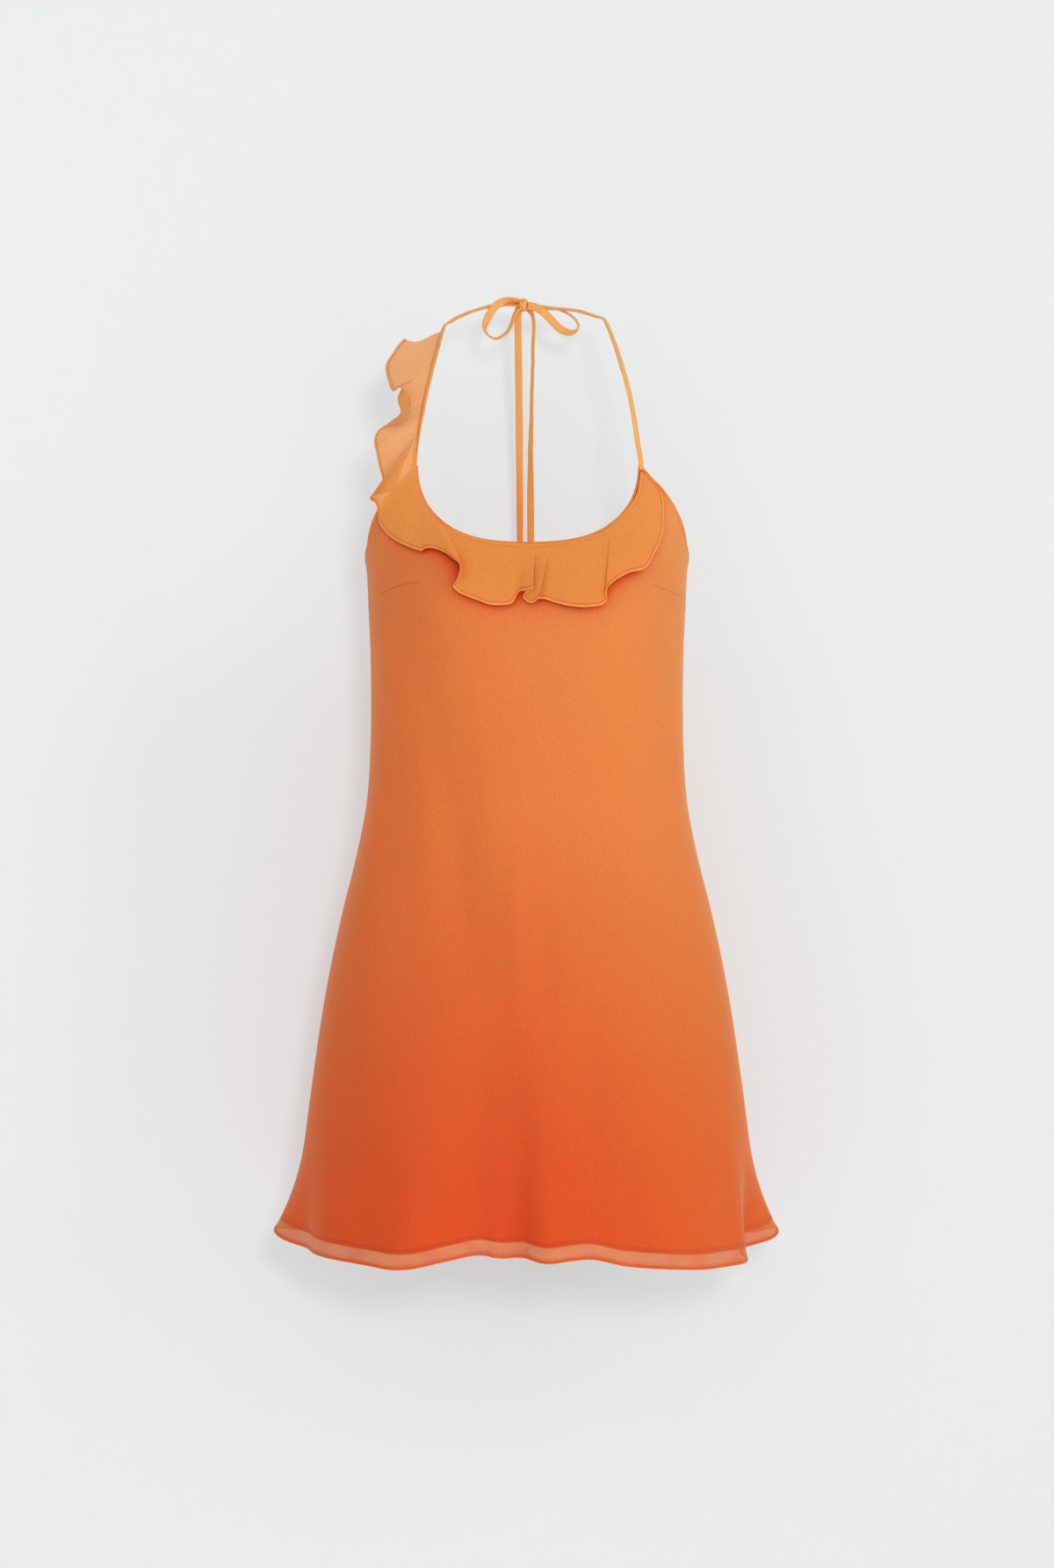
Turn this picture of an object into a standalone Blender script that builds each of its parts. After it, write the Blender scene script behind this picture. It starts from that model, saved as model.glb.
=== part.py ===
"""Sleeveless halter mini dress with a neck flounce, worn form, hollow.

Metres, +Z up. The front faces -Y and +X is to the right seen from the front.
The origin is the nape, where the tied halter rests. Heights are negative, down to the hem.
The cloth lies on a general figure: rings that are worked out from the FIGURE table.
"""

import math

import bmesh
import bpy
import numpy as np

NAPE_BACK = 0.0465  # the nape lies this far behind the side seams
SHELL_WALL = 0.0012
LINING_WALL = 0.0010
LINING_GAP = 0.0006  # air between shell and lining
LINING_SHORT = 0.0140  # the lining hem hangs this far above the shell hem
LINING_DROP = 0.0020  # the lining starts this far below the shell's top edge
RUFFLE_WALL = 0.0010
SEAM_HALF_GAP = 0.060  # degrees each side of a side seam, 0.3 mm in all
ROUNDNESS = 2.3  # power of the ring's superellipse

# The general figure under the cloth, from shoulder to hem. Depths count from the side seams.
FIGURE_COLUMNS = ("height", "half_width", "front", "back")
FIGURE = (
    (-0.015, 0.1400, 0.004, 0.050),
    (-0.030, 0.1500, 0.026, 0.060),
    (-0.060, 0.1600, 0.055, 0.075),
    (-0.090, 0.1670, 0.076, 0.085),
    (-0.130, 0.1720, 0.094, 0.095),
    (-0.170, 0.1700, 0.106, 0.100),
    (-0.200, 0.1630, 0.112, 0.102),
    (-0.230, 0.1530, 0.116, 0.101),
    (-0.250, 0.1500, 0.118, 0.100),
    (-0.290, 0.1478, 0.118, 0.096),
    (-0.330, 0.1460, 0.115, 0.090),
    (-0.370, 0.1454, 0.110, 0.084),
    (-0.420, 0.1460, 0.106, 0.080),
    (-0.470, 0.1492, 0.105, 0.086),
    (-0.520, 0.1587, 0.108, 0.098),
    (-0.570, 0.1712, 0.113, 0.110),
    (-0.620, 0.1822, 0.119, 0.119),
    (-0.670, 0.1912, 0.126, 0.126),
    (-0.720, 0.1985, 0.132, 0.131),
    (-0.770, 0.2052, 0.139, 0.136),
    (-0.820, 0.2110, 0.147, 0.141),
    (-0.890, 0.2190, 0.158, 0.149),
)
# Columns: angle, height, push, angle_spread, height_spread
BUST = (
    (-34, -0.285, 0.007, 20, 0.055),
    (34, -0.285, 0.007, 20, 0.055),
)

# Folds of the skirt: angle from the front centre in degrees, push out at the hem,
# spread in degrees, the height where the fold starts and how sharply it grows.
# Columns: angle, push, spread, start, growth
FOLDS = (
    (-90, 0.0190, 9.5, -0.775, 2.2),
    (-74, -0.0050, 6.0, -0.740, 1.6),
    (-58, 0.0030, 9.0, -0.700, 1.5),
    (-37, 0.0140, 12.0, -0.600, 1.6),
    (-17, -0.0080, 8.0, -0.560, 1.5),
    (-4, -0.0090, 6.0, -0.520, 1.4),
    (7, 0.0090, 6.0, -0.560, 1.6),
    (22, -0.0060, 7.0, -0.620, 1.5),
    (34, -0.0040, 5.0, -0.640, 1.6),
    (47, 0.0130, 11.0, -0.640, 1.6),
    (68, 0.0030, 5.0, -0.700, 1.6),
    (77.5, -0.0150, 6.0, -0.765, 1.8),
    (90, 0.0178, 8.0, -0.775, 2.2),
    (103, -0.0050, 7.0, -0.760, 1.8),
    (117, 0.0120, 9.0, -0.640, 1.6),
    (133, -0.0100, 8.0, -0.600, 1.5),
    (150, 0.0130, 10.0, -0.560, 1.5),
    (166, -0.0090, 8.0, -0.580, 1.5),
    (181, 0.0110, 9.0, -0.540, 1.5),
    (199, -0.0100, 9.0, -0.600, 1.5),
    (216, 0.0140, 10.0, -0.580, 1.6),
    (233, -0.0090, 8.0, -0.640, 1.5),
    (247, 0.0090, 8.0, -0.680, 1.6),
    (258, -0.0060, 5.0, -0.760, 1.8),
)

# Columns: angle, height
HEM = (
    (-90, -0.8690),
    (-80, -0.8770),
    (-70, -0.8805),
    (-58, -0.8830),
    (-45, -0.8850),
    (-35, -0.8862),
    (-25, -0.8790),
    (-17, -0.8745),
    (-9, -0.8770),
    (-1, -0.8765),
    (5, -0.8795),
    (14, -0.8785),
    (22, -0.8785),
    (32, -0.8848),
    (42, -0.8872),
    (55, -0.8894),
    (68, -0.8895),
    (78, -0.8830),
    (85, -0.8765),
    (90, -0.8700),
    (100, -0.8780),
    (115, -0.8810),
    (132, -0.8760),
    (150, -0.8800),
    (166, -0.8750),
    (181, -0.8790),
    (199, -0.8750),
    (216, -0.8810),
    (233, -0.8760),
    (250, -0.8800),
    (270, -0.8690),
)

# Half of the front panel's top edge seen from the front: the scoop from its middle to the
# strap, then the armhole from the strap to the side seam.
# Columns: across, height
SCOOP = (
    (0.0000, -0.2370),
    (0.0215, -0.2362),
    (0.0420, -0.2336),
    (0.0545, -0.2300),
    (0.0645, -0.2258),
    (0.0800, -0.2148),
    (0.0902, -0.2030),
    (0.0963, -0.1910),
    (0.0995, -0.1790),
    (0.1010, -0.1656),
)
ARMHOLE = (
    (0.1057, -0.1682),
    (0.1108, -0.1742),
    (0.1190, -0.1815),
    (0.1308, -0.1950),
    (0.1387, -0.2075),
    (0.1440, -0.2190),
    (0.1480, -0.2350),
)
SCOOP_SHIFT = 0.0010  # the neckline sits this far to the right of the side seams' middle
UNDERARM = -0.2500  # height of the side seams' tops
# Columns: angle, height
BACK_EDGE = (
    (90, -0.2500),
    (104, -0.2590),
    (122, -0.2740),
    (145, -0.2910),
    (180, -0.2990),
    (215, -0.2910),
    (238, -0.2740),
    (256, -0.2590),
    (270, -0.2500),
)

# The flounce's sewn edge, from the left shoulder down the strap and round the scoop.
# Columns: across, height, stand_off
ROOT = (
    (-0.0812, -0.0358, 0.0000),
    (-0.0836, -0.0459, 0.0000),
    (-0.0861, -0.0566, 0.0000),
    (-0.0888, -0.0681, 0.0000),
    (-0.0915, -0.0802, 0.0000),
    (-0.0941, -0.0930, 0.0000),
    (-0.0962, -0.1057, 0.0004),
    (-0.0981, -0.1175, 0.0012),
    (-0.0999, -0.1299, 0.0019),
    (-0.1012, -0.1431, 0.0023),
    (-0.1016, -0.1553, 0.0023),
    (-0.1007, -0.1659, 0.0023),
    (-0.0994, -0.1757, 0.0023),
    (-0.0969, -0.1858, 0.0019),
    (-0.0932, -0.1955, 0.0017),
    (-0.0888, -0.2037, 0.0017),
    (-0.0809, -0.2139, 0.0017),
    (-0.0717, -0.2215, 0.0017),
    (-0.0621, -0.2265, 0.0017),
    (-0.0502, -0.2310, 0.0017),
    (-0.0351, -0.2346, 0.0017),
    (-0.0186, -0.2368, 0.0017),
    (0.0000, -0.2377, 0.0017),
    (0.0217, -0.2374, 0.0017),
    (0.0344, -0.2357, 0.0017),
    (0.0438, -0.2345, 0.0017),
    (0.0549, -0.2310, 0.0017),
    (0.0661, -0.2275, 0.0017),
    (0.0822, -0.2139, 0.0017),
    (0.0942, -0.2004, 0.0017),
    (0.0998, -0.1899, 0.0018),
    (0.1021, -0.1780, 0.0019),
    (0.1030, -0.1707, 0.0020),
)

# The flounce's free edge: share of the sewn edge, place seen from the front, and how far
# it stands off the figure. A row for each crest, trough and turn of its waves.
# Columns: along, across, height, stand_off
WAVES = (
    (0.000, -0.1135, -0.0434, 0.0090),
    (0.022, -0.1185, -0.0494, 0.0100),
    (0.041, -0.1238, -0.0579, 0.0100),
    (0.055, -0.1275, -0.0639, 0.0100),
    (0.068, -0.1297, -0.0700, 0.0110),
    (0.084, -0.1291, -0.0779, 0.0130),
    (0.089, -0.1267, -0.0862, 0.0150),
    (0.094, -0.1237, -0.0945, 0.0160),
    (0.098, -0.1218, -0.0962, 0.0165),
    (0.104, -0.1191, -0.0935, 0.0170),
    (0.111, -0.1156, -0.0930, 0.0180),
    (0.117, -0.1118, -0.0955, 0.0190),
    (0.124, -0.1085, -0.0992, 0.0200),
    (0.131, -0.1056, -0.1038, 0.0210),
    (0.138, -0.1046, -0.1087, 0.0205),
    (0.144, -0.1046, -0.1140, 0.0195),
    (0.149, -0.1056, -0.1181, 0.0180),
    (0.156, -0.1105, -0.1228, 0.0160),
    (0.162, -0.1181, -0.1261, 0.0130),
    (0.169, -0.1251, -0.1274, 0.0100),
    (0.174, -0.1309, -0.1287, 0.0080),
    (0.180, -0.1357, -0.1316, 0.0070),
    (0.185, -0.1387, -0.1363, 0.0070),
    (0.191, -0.1395, -0.1416, 0.0075),
    (0.197, -0.1379, -0.1500, 0.0090),
    (0.203, -0.1356, -0.1609, 0.0070),
    (0.208, -0.1328, -0.1720, 0.0050),
    (0.213, -0.1303, -0.1790, 0.0056),
    (0.218, -0.1299, -0.1835, 0.0050),
    (0.224, -0.1307, -0.1872, 0.0056),
    (0.232, -0.1330, -0.1900, 0.0068),
    (0.240, -0.1366, -0.1916, 0.0086),
    (0.248, -0.1400, -0.1925, 0.0102),
    (0.255, -0.1421, -0.1938, 0.0122),
    (0.262, -0.1411, -0.1964, 0.0138),
    (0.269, -0.1378, -0.1992, 0.0146),
    (0.277, -0.1361, -0.2053, 0.0135),
    (0.284, -0.1360, -0.2119, 0.0110),
    (0.291, -0.1340, -0.2174, 0.0100),
    (0.308, -0.1271, -0.2268, 0.0090),
    (0.329, -0.1156, -0.2355, 0.0080),
    (0.350, -0.1047, -0.2407, 0.0060),
    (0.366, -0.0988, -0.2428, 0.0040),
    (0.376, -0.0954, -0.2438, 0.0028),
    (0.385, -0.0924, -0.2419, 0.0040),
    (0.396, -0.0865, -0.2416, 0.0070),
    (0.410, -0.0785, -0.2440, 0.0110),
    (0.424, -0.0712, -0.2480, 0.0160),
    (0.439, -0.0654, -0.2527, 0.0190),
    (0.453, -0.0611, -0.2564, 0.0210),
    (0.467, -0.0588, -0.2604, 0.0210),
    (0.473, -0.0589, -0.2650, 0.0180),
    (0.478, -0.0608, -0.2691, 0.0150),
    (0.482, -0.0637, -0.2731, 0.0120),
    (0.487, -0.0663, -0.2774, 0.0090),
    (0.498, -0.0630, -0.2811, 0.0075),
    (0.516, -0.0536, -0.2859, 0.0060),
    (0.537, -0.0437, -0.2895, 0.0055),
    (0.556, -0.0342, -0.2931, 0.0060),
    (0.577, -0.0248, -0.2938, 0.0060),
    (0.600, -0.0128, -0.2913, 0.0050),
    (0.623, -0.0103, -0.2870, 0.0040),
    (0.648, -0.0065, -0.2814, 0.0045),
    (0.666, -0.0015, -0.2813, 0.0090),
    (0.683, 0.0028, -0.2867, 0.0130),
    (0.701, 0.0043, -0.2922, 0.0130),
    (0.717, 0.0087, -0.2893, 0.0080),
    (0.733, 0.0118, -0.2877, 0.0045),
    (0.746, 0.0201, -0.2896, 0.0040),
    (0.765, 0.0315, -0.2931, 0.0050),
    (0.789, 0.0437, -0.2952, 0.0060),
    (0.815, 0.0579, -0.2952, 0.0070),
    (0.838, 0.0678, -0.2932, 0.0090),
    (0.850, 0.0715, -0.2902, 0.0110),
    (0.855, 0.0703, -0.2834, 0.0130),
    (0.861, 0.0724, -0.2784, 0.0150),
    (0.872, 0.0775, -0.2728, 0.0165),
    (0.883, 0.0847, -0.2681, 0.0170),
    (0.891, 0.0927, -0.2639, 0.0155),
    (0.898, 0.1005, -0.2620, 0.0135),
    (0.904, 0.1069, -0.2594, 0.0120),
    (0.908, 0.1112, -0.2539, 0.0110),
    (0.912, 0.1147, -0.2467, 0.0105),
    (0.915, 0.1177, -0.2413, 0.0100),
    (0.924, 0.1208, -0.2337, 0.0080),
    (0.934, 0.1235, -0.2251, 0.0065),
    (0.945, 0.1242, -0.2139, 0.0050),
    (0.959, 0.1244, -0.2011, 0.0044),
    (0.972, 0.1225, -0.1901, 0.0040),
    (0.983, 0.1188, -0.1846, 0.0036),
    (0.992, 0.1132, -0.1776, 0.0032),
    (1.000, 0.1073, -0.1720, 0.0028),
)
# Where the flounce's middle sags at its upper end, and bulges aside before its edge turns over.
# Columns: along, spread, across, height, stand_off
BELLIES = (
    (0.000, 0.030, 0.0000, -0.0055, 0.0000),
    (0.138, 0.022, -0.0150, 0.0000, -0.0070),
)
WAVE_GROWTH = 1.10  # how late along the depth the stand-off grows

# Tapes of folded cloth. Routes run to or from the knot, from the shoulder seam or down the
# back. Turn is the tape's roll in degrees: 0 shows its flat side to the front, 90 its edge.
TAPE_WALL = 0.0012
# Columns: across, depth, height, turn
STRAP_LEFT_WIDTH = 0.0060
STRAP_LEFT = (
    (-0.1023, -0.0888, -0.1655, -44),
    (-0.1018, -0.0868, -0.1550, -44),
    (-0.1004, -0.0840, -0.1444, -44),
    (-0.0972, -0.0790, -0.1239, -44),
    (-0.0934, -0.0715, -0.1031, -46),
    (-0.0901, -0.0650, -0.0879, -47),
    (-0.0856, -0.0530, -0.0663, -49),
    (-0.0814, -0.0390, -0.0484, -52),
    (-0.0783, -0.0250, -0.0344, -56),
    (-0.0765, -0.0080, -0.0272, -62),
    (-0.0731, 0.0060, -0.0229, -58),
    (-0.0639, 0.0190, -0.0154, -52),
    (-0.0547, 0.0290, -0.0098, -56),
    (-0.0452, 0.0360, -0.0058, -60),
    (-0.0353, 0.0412, -0.0026, -56),
    (-0.0229, 0.0455, -0.0001, -52),
    (-0.0162, 0.0470, 0.0003, -50),
    (-0.0088, 0.0478, 0.0003, -50),
)
STRAP_RIGHT_WIDTH = 0.0060
STRAP_RIGHT = (
    (0.1039, -0.0891, -0.1651, 46),
    (0.1028, -0.0876, -0.1567, 46),
    (0.1008, -0.0846, -0.1452, 46),
    (0.0986, -0.0800, -0.1272, 46),
    (0.0954, -0.0730, -0.1072, 48),
    (0.0912, -0.0648, -0.0870, 49),
    (0.0859, -0.0530, -0.0663, 50),
    (0.0798, -0.0365, -0.0448, 52),
    (0.0748, -0.0170, -0.0280, 56),
    (0.0713, 0.0000, -0.0201, 60),
    (0.0623, 0.0190, -0.0140, 58),
    (0.0509, 0.0320, -0.0086, 60),
    (0.0411, 0.0385, -0.0061, 62),
    (0.0303, 0.0435, -0.0044, 62),
    (0.0229, 0.0460, -0.0036, 58),
    (0.0146, 0.0488, -0.0023, 50),
    (0.0079, 0.0500, -0.0009, 44),
    (0.0018, 0.0504, 0.0003, 40),
)
LOOP_WIDTH = 0.0070
LOOP_LEFT = (
    (-0.0101, 0.0440, 0.0037, -64),
    (-0.0162, 0.0415, 0.0039, -60),
    (-0.0224, 0.0395, 0.0022, -36),
    (-0.0286, 0.0375, -0.0017, -14),
    (-0.0331, 0.0368, -0.0071, -10),
    (-0.0372, 0.0370, -0.0142, -20),
    (-0.0397, 0.0378, -0.0208, -52),
    (-0.0398, 0.0385, -0.0243, -66),
    (-0.0383, 0.0395, -0.0278, -76),
    (-0.0353, 0.0405, -0.0310, -78),
    (-0.0302, 0.0418, -0.0329, -71),
    (-0.0237, 0.0432, -0.0304, -69),
    (-0.0189, 0.0438, -0.0266, -66),
    (-0.0150, 0.0440, -0.0194, -65),
    (-0.0127, 0.0440, -0.0124, -64),
    (-0.0101, 0.0440, -0.0068, -60),
)
LOOP_RIGHT = (
    (0.0008, 0.0456, -0.0010, 8),
    (0.0078, 0.0436, -0.0029, 4),
    (0.0145, 0.0420, -0.0071, 0),
    (0.0207, 0.0420, -0.0127, 0),
    (0.0262, 0.0424, -0.0185, 4),
    (0.0324, 0.0432, -0.0240, 14),
    (0.0385, 0.0444, -0.0265, 40),
    (0.0433, 0.0456, -0.0264, 64),
    (0.0470, 0.0470, -0.0240, 80),
    (0.0486, 0.0488, -0.0200, 76),
    (0.0472, 0.0508, -0.0152, 73),
    (0.0434, 0.0528, -0.0108, 72),
    (0.0392, 0.0544, -0.0074, 72),
    (0.0330, 0.0562, -0.0040, 72),
    (0.0229, 0.0576, -0.0013, 72),
    (0.0113, 0.0584, 0.0005, 72),
)
TAIL_WIDTH = 0.0069
TAIL_LEFT = (
    (-0.0084, 0.0500, -0.0061, 2),
    (-0.0085, 0.0512, -0.0135, 0),
    (-0.0084, 0.0570, -0.0302, 0),
    (-0.0080, 0.0680, -0.0581, 0),
    (-0.0075, 0.0850, -0.0981, 0),
    (-0.0072, 0.0980, -0.1390, 0),
    (-0.0070, 0.1080, -0.1974, 0),
    (-0.0070, 0.1095, -0.2700, 0),
    (-0.0078, 0.1090, -0.3400, 6),
    (-0.0090, 0.1075, -0.4000, 14),
    (-0.0096, 0.1060, -0.4400, 20),
)
TAIL_RIGHT = (
    (0.0019, 0.0498, -0.0040, 42),
    (0.0048, 0.0508, -0.0088, 62),
    (0.0063, 0.0522, -0.0167, 68),
    (0.0059, 0.0590, -0.0341, 68),
    (0.0053, 0.0680, -0.0581, 67),
    (0.0043, 0.0850, -0.0981, 64),
    (0.0035, 0.0980, -0.1390, 60),
    (0.0032, 0.1080, -0.1974, 50),
    (0.0034, 0.1095, -0.2700, 36),
    (0.0044, 0.1085, -0.3300, 20),
    (0.0056, 0.1075, -0.3750, 8),
    (0.0066, 0.1065, -0.4180, 0),
)
KNOT_CENTRE = (-0.0036, 0.0485, 0.0000)
KNOT_RADII = (0.0045, 0.0040, 0.0063)

# Mesh steps
ARMHOLE_STEPS = 9
SCOOP_STEPS = 16
BACK_STEPS = 24
HEM_CROWDING = 1.35  # draws the columns at the hem towards the side seams
APEX_HEM_ANGLES = (50.0, 46.0)  # where the strap's columns meet the hem
ROW_SHARES = (
    0.0, 0.03, 0.06, 0.10, 0.15, 0.21, 0.28, 0.36, 0.45, 0.54, 0.63, 0.72, 0.79, 0.85, 0.90, 0.943,
)
SPREAD_SHARE = 0.45  # the share of the height over which columns fan out
LEVEL_SHARE = 0.50  # rows follow the top edge's shape down to this share
RUFFLE_STEPS = 113
RUFFLE_ROWS = 6
TAPE_STEP = 0.0055

PANEL_COLOUR = (0.78, 0.19, 0.05)
LINING_COLOUR = (0.72, 0.13, 0.035)
RUFFLE_COLOUR = (0.84, 0.33, 0.10)
TIE_COLOUR = (0.81, 0.29, 0.07)


def column(table, index):
    """One column of a table as an array."""
    return np.array([row[index] for row in table], float)


def through(stations, values, at):
    """A smooth curve through the values, read at other stations (cubic Hermite)."""
    stations = np.asarray(stations, float)
    values = np.asarray(values, float)
    at = np.clip(np.asarray(at, float), stations[0], stations[-1])
    slopes = np.gradient(values, stations)
    place = np.clip(np.searchsorted(stations, at, side="right") - 1, 0, len(stations) - 2)
    width = stations[place + 1] - stations[place]
    t = (at - stations[place]) / width
    start = (2 * t**3 - 3 * t**2 + 1) * values[place] + (t**3 - 2 * t**2 + t) * width * slopes[place]
    end = (3 * t**2 - 2 * t**3) * values[place + 1] + (t**3 - t**2) * width * slopes[place + 1]
    return start + end


def smooth_step(share):
    share = np.clip(share, 0.0, 1.0)
    return share * share * (3 - 2 * share)


def arc_stations(points):
    """Distance along a polyline at each of its points."""
    steps = np.linalg.norm(np.diff(points, axis=0), axis=1)
    return np.concatenate([[0.0], np.cumsum(steps)])


def figure(heights, name):
    """A column of the FIGURE table at any height."""
    depth = -column(FIGURE, 0)
    return through(depth, column(FIGURE, FIGURE_COLUMNS.index(name)), -np.asarray(heights, float))


def turn_between(angles, centre):
    """Signed angle from a centre, across the wrap at the back."""
    return (np.asarray(angles, float) - centre + 180.0) % 360.0 - 180.0


def hem_height(angles):
    wrapped = (np.asarray(angles, float) + 90.0) % 360.0 - 90.0
    return through(column(HEM, 0), column(HEM, 1), wrapped)


def push_out(angles, heights):
    """How far the bust and the skirt's folds push the cloth outwards."""
    total = np.zeros(np.broadcast(angles, heights).shape)
    for angle, height, push, angle_spread, height_spread in BUST:
        across = (turn_between(angles, angle) / angle_spread) ** 2
        total = total + push * np.exp(-across - ((heights - height) / height_spread) ** 2)
    for angle, push, spread, start, growth in FOLDS:
        grown = np.clip((start - heights) / (start - HEM[0][1]), 0.0, 1.1) ** growth
        total = total + push * grown * np.exp(-((turn_between(angles, angle) / spread) ** 2))
    return total


def skin(angles, heights):
    """Points of the cloth's middle surface at angles from the front centre, in degrees."""
    angles, heights = np.broadcast_arrays(np.asarray(angles, float), np.asarray(heights, float))
    sine = np.sin(np.radians(angles))
    cosine = np.cos(np.radians(angles))
    depth = np.where(cosine > 0, figure(heights, "front"), figure(heights, "back"))
    width = figure(heights, "half_width")
    radius = ((np.abs(sine) / width) ** ROUNDNESS + (np.abs(cosine) / depth) ** ROUNDNESS) ** (-1 / ROUNDNESS)
    radius = radius + push_out(angles, heights)
    return np.stack([radius * sine, -radius * cosine - NAPE_BACK, heights], axis=-1)


def outward(points):
    """Outward directions at a grid's points, from the faces around each."""
    faces = np.cross(points[1:, 1:] - points[:-1, :-1], points[:-1, 1:] - points[1:, :-1])
    faces = np.pad(faces / np.linalg.norm(faces, axis=-1, keepdims=True), ((1, 1), (1, 1), (0, 0)), "edge")
    total = faces[1:, 1:] + faces[1:, :-1] + faces[:-1, 1:] + faces[:-1, :-1]
    total[:, (0, -1), 1] = 0.0  # a side seam stays in its own plane
    return total / np.linalg.norm(total, axis=-1, keepdims=True)


def front_angle(across, heights):
    """The angle at which the front of the figure is this far across."""
    across, heights = np.broadcast_arrays(np.asarray(across, float), np.asarray(heights, float))
    low = np.zeros(across.shape)
    high = np.full(across.shape, 90.0)
    side = np.where(across < 0, -1.0, 1.0)
    for _ in range(30):
        middle = (low + high) / 2
        inside = np.abs(skin(side * middle, heights)[..., 0]) < np.abs(across)
        low = np.where(inside, middle, low)
        high = np.where(inside, high, middle)
    return side * (low + high) / 2


def front_depth(across, heights):
    """The front surface's Y at a place seen from the front."""
    return skin(front_angle(across, heights), heights)[..., 1]


def even_along(points, steps):
    """A curve through points, sampled at even distances."""
    points = np.asarray(points, float)
    stations = arc_stations(points)
    at = np.linspace(0, stations[-1], steps + 1)
    return np.stack([through(stations, points[:, k], at) for k in range(points.shape[1])], axis=-1)


def front_top_edge():
    """Angle and height of the front panel's top edge at each column, left seam to right seam."""
    arm = even_along(ARMHOLE, ARMHOLE_STEPS - 1)
    arm = np.vstack([arm, [[figure(UNDERARM, "half_width"), UNDERARM]]])
    half_scoop = np.array(SCOOP)
    scoop = np.vstack([half_scoop[::-1] * (-1, 1), half_scoop[1:]])
    scoop = even_along(scoop, SCOOP_STEPS)
    edge = np.vstack([arm[::-1] * (-1, 1), scoop, arm])
    shift = SCOOP_SHIFT * (1 - smooth_step((np.abs(edge[:, 0]) - 0.105) / 0.04))
    across = edge[:, 0] + shift
    angles = front_angle(across, edge[:, 1])
    seam = 90.0 - SEAM_HALF_GAP
    angles[0] = -seam
    angles[-1] = seam
    return angles, edge[:, 1]


def front_hem_angles():
    """Hem angle of each front column."""
    seam = 90.0 - SEAM_HALF_GAP
    arm_hem, scoop_hem = APEX_HEM_ANGLES
    shares = (np.arange(ARMHOLE_STEPS + 1) / ARMHOLE_STEPS) ** HEM_CROWDING
    side = seam - (seam - arm_hem) * shares
    middle = np.linspace(-scoop_hem, scoop_hem, SCOOP_STEPS + 1)
    return np.concatenate([-side, middle, side[::-1]])


def panel_points(top_angles, top_heights, hem_angles):
    """A panel's grid, rows from the top edge down to the hem."""
    lining_hem = 1 - LINING_SHORT / (UNDERARM - HEM[0][1])
    shares = np.array((*ROW_SHARES, lining_hem, 1.0))[:, None]
    fan = smooth_step(shares / SPREAD_SHARE)
    angles = top_angles + (hem_angles - top_angles) * fan
    level = UNDERARM + (hem_height(hem_angles) - UNDERARM) * shares
    heights = level + (top_heights - UNDERARM) * (1 - smooth_step(shares / LEVEL_SHARE))
    return skin(angles, heights)


def lining_points(points):
    """The shell's grid moved in, lowered at the top edge and without the hem's last row."""
    inset = SHELL_WALL / 2 + LINING_GAP + LINING_WALL / 2
    inner = points - inset * outward(points)
    top_step = np.linalg.norm(inner[1] - inner[0], axis=-1)[:, None]
    first = inner[0] + (inner[1] - inner[0]) * LINING_DROP / top_step
    return np.concatenate([first[None], inner[1:-1]])


def new_material(name, colour, roughness):
    material = bpy.data.materials.new(name)
    material.use_nodes = True
    shader = material.node_tree.nodes["Principled BSDF"]
    shader.inputs["Base Color"].default_value = (*colour, 1.0)
    shader.inputs["Roughness"].default_value = roughness
    shader.inputs["Metallic"].default_value = 0.0
    return material


def sheet_object(name, points, wall, material, collection):
    """An open grid of points, given its wall by Solidify."""
    rows, columns, _ = points.shape
    mesh = bpy.data.meshes.new(name)
    faces = []
    for row in range(rows - 1):
        for col in range(columns - 1):
            here = row * columns + col
            below = here + columns
            if col < columns // 2:
                faces += [(here, below, here + 1), (here + 1, below, below + 1)]
            else:
                faces += [(here, below, below + 1), (here, below + 1, here + 1)]
    mesh.from_pydata(points.reshape(-1, 3).tolist(), [], faces)
    mesh.materials.append(material)
    mesh.shade_smooth()
    sheet = bpy.data.objects.new(name, mesh)
    collection.objects.link(sheet)
    solidify = sheet.modifiers.new("wall", "SOLIDIFY")
    solidify.thickness = wall
    solidify.offset = 0.0
    return sheet


def build_panels(collection):
    shell = new_material("shell_georgette", PANEL_COLOUR, 0.55)
    lining = new_material("lining_cloth", LINING_COLOUR, 0.6)
    top_angles, top_heights = front_top_edge()
    front = panel_points(top_angles, top_heights, front_hem_angles())
    sheet_object("shell_front", front, SHELL_WALL, shell, collection)
    sheet_object("lining_front", lining_points(front), LINING_WALL, lining, collection)
    turns = np.linspace(-1, 1, BACK_STEPS + 1)
    crowded = np.sign(turns) * (1 - (1 - np.abs(turns)) ** HEM_CROWDING)
    back_angles = 180.0 + (90.0 - SEAM_HALF_GAP) * crowded
    back_tops = through(column(BACK_EDGE, 0), column(BACK_EDGE, 1), back_angles)
    back = panel_points(back_angles, back_tops, back_angles)
    sheet_object("shell_back", back, SHELL_WALL, shell, collection)
    sheet_object("lining_back", lining_points(back), LINING_WALL, lining, collection)


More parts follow.
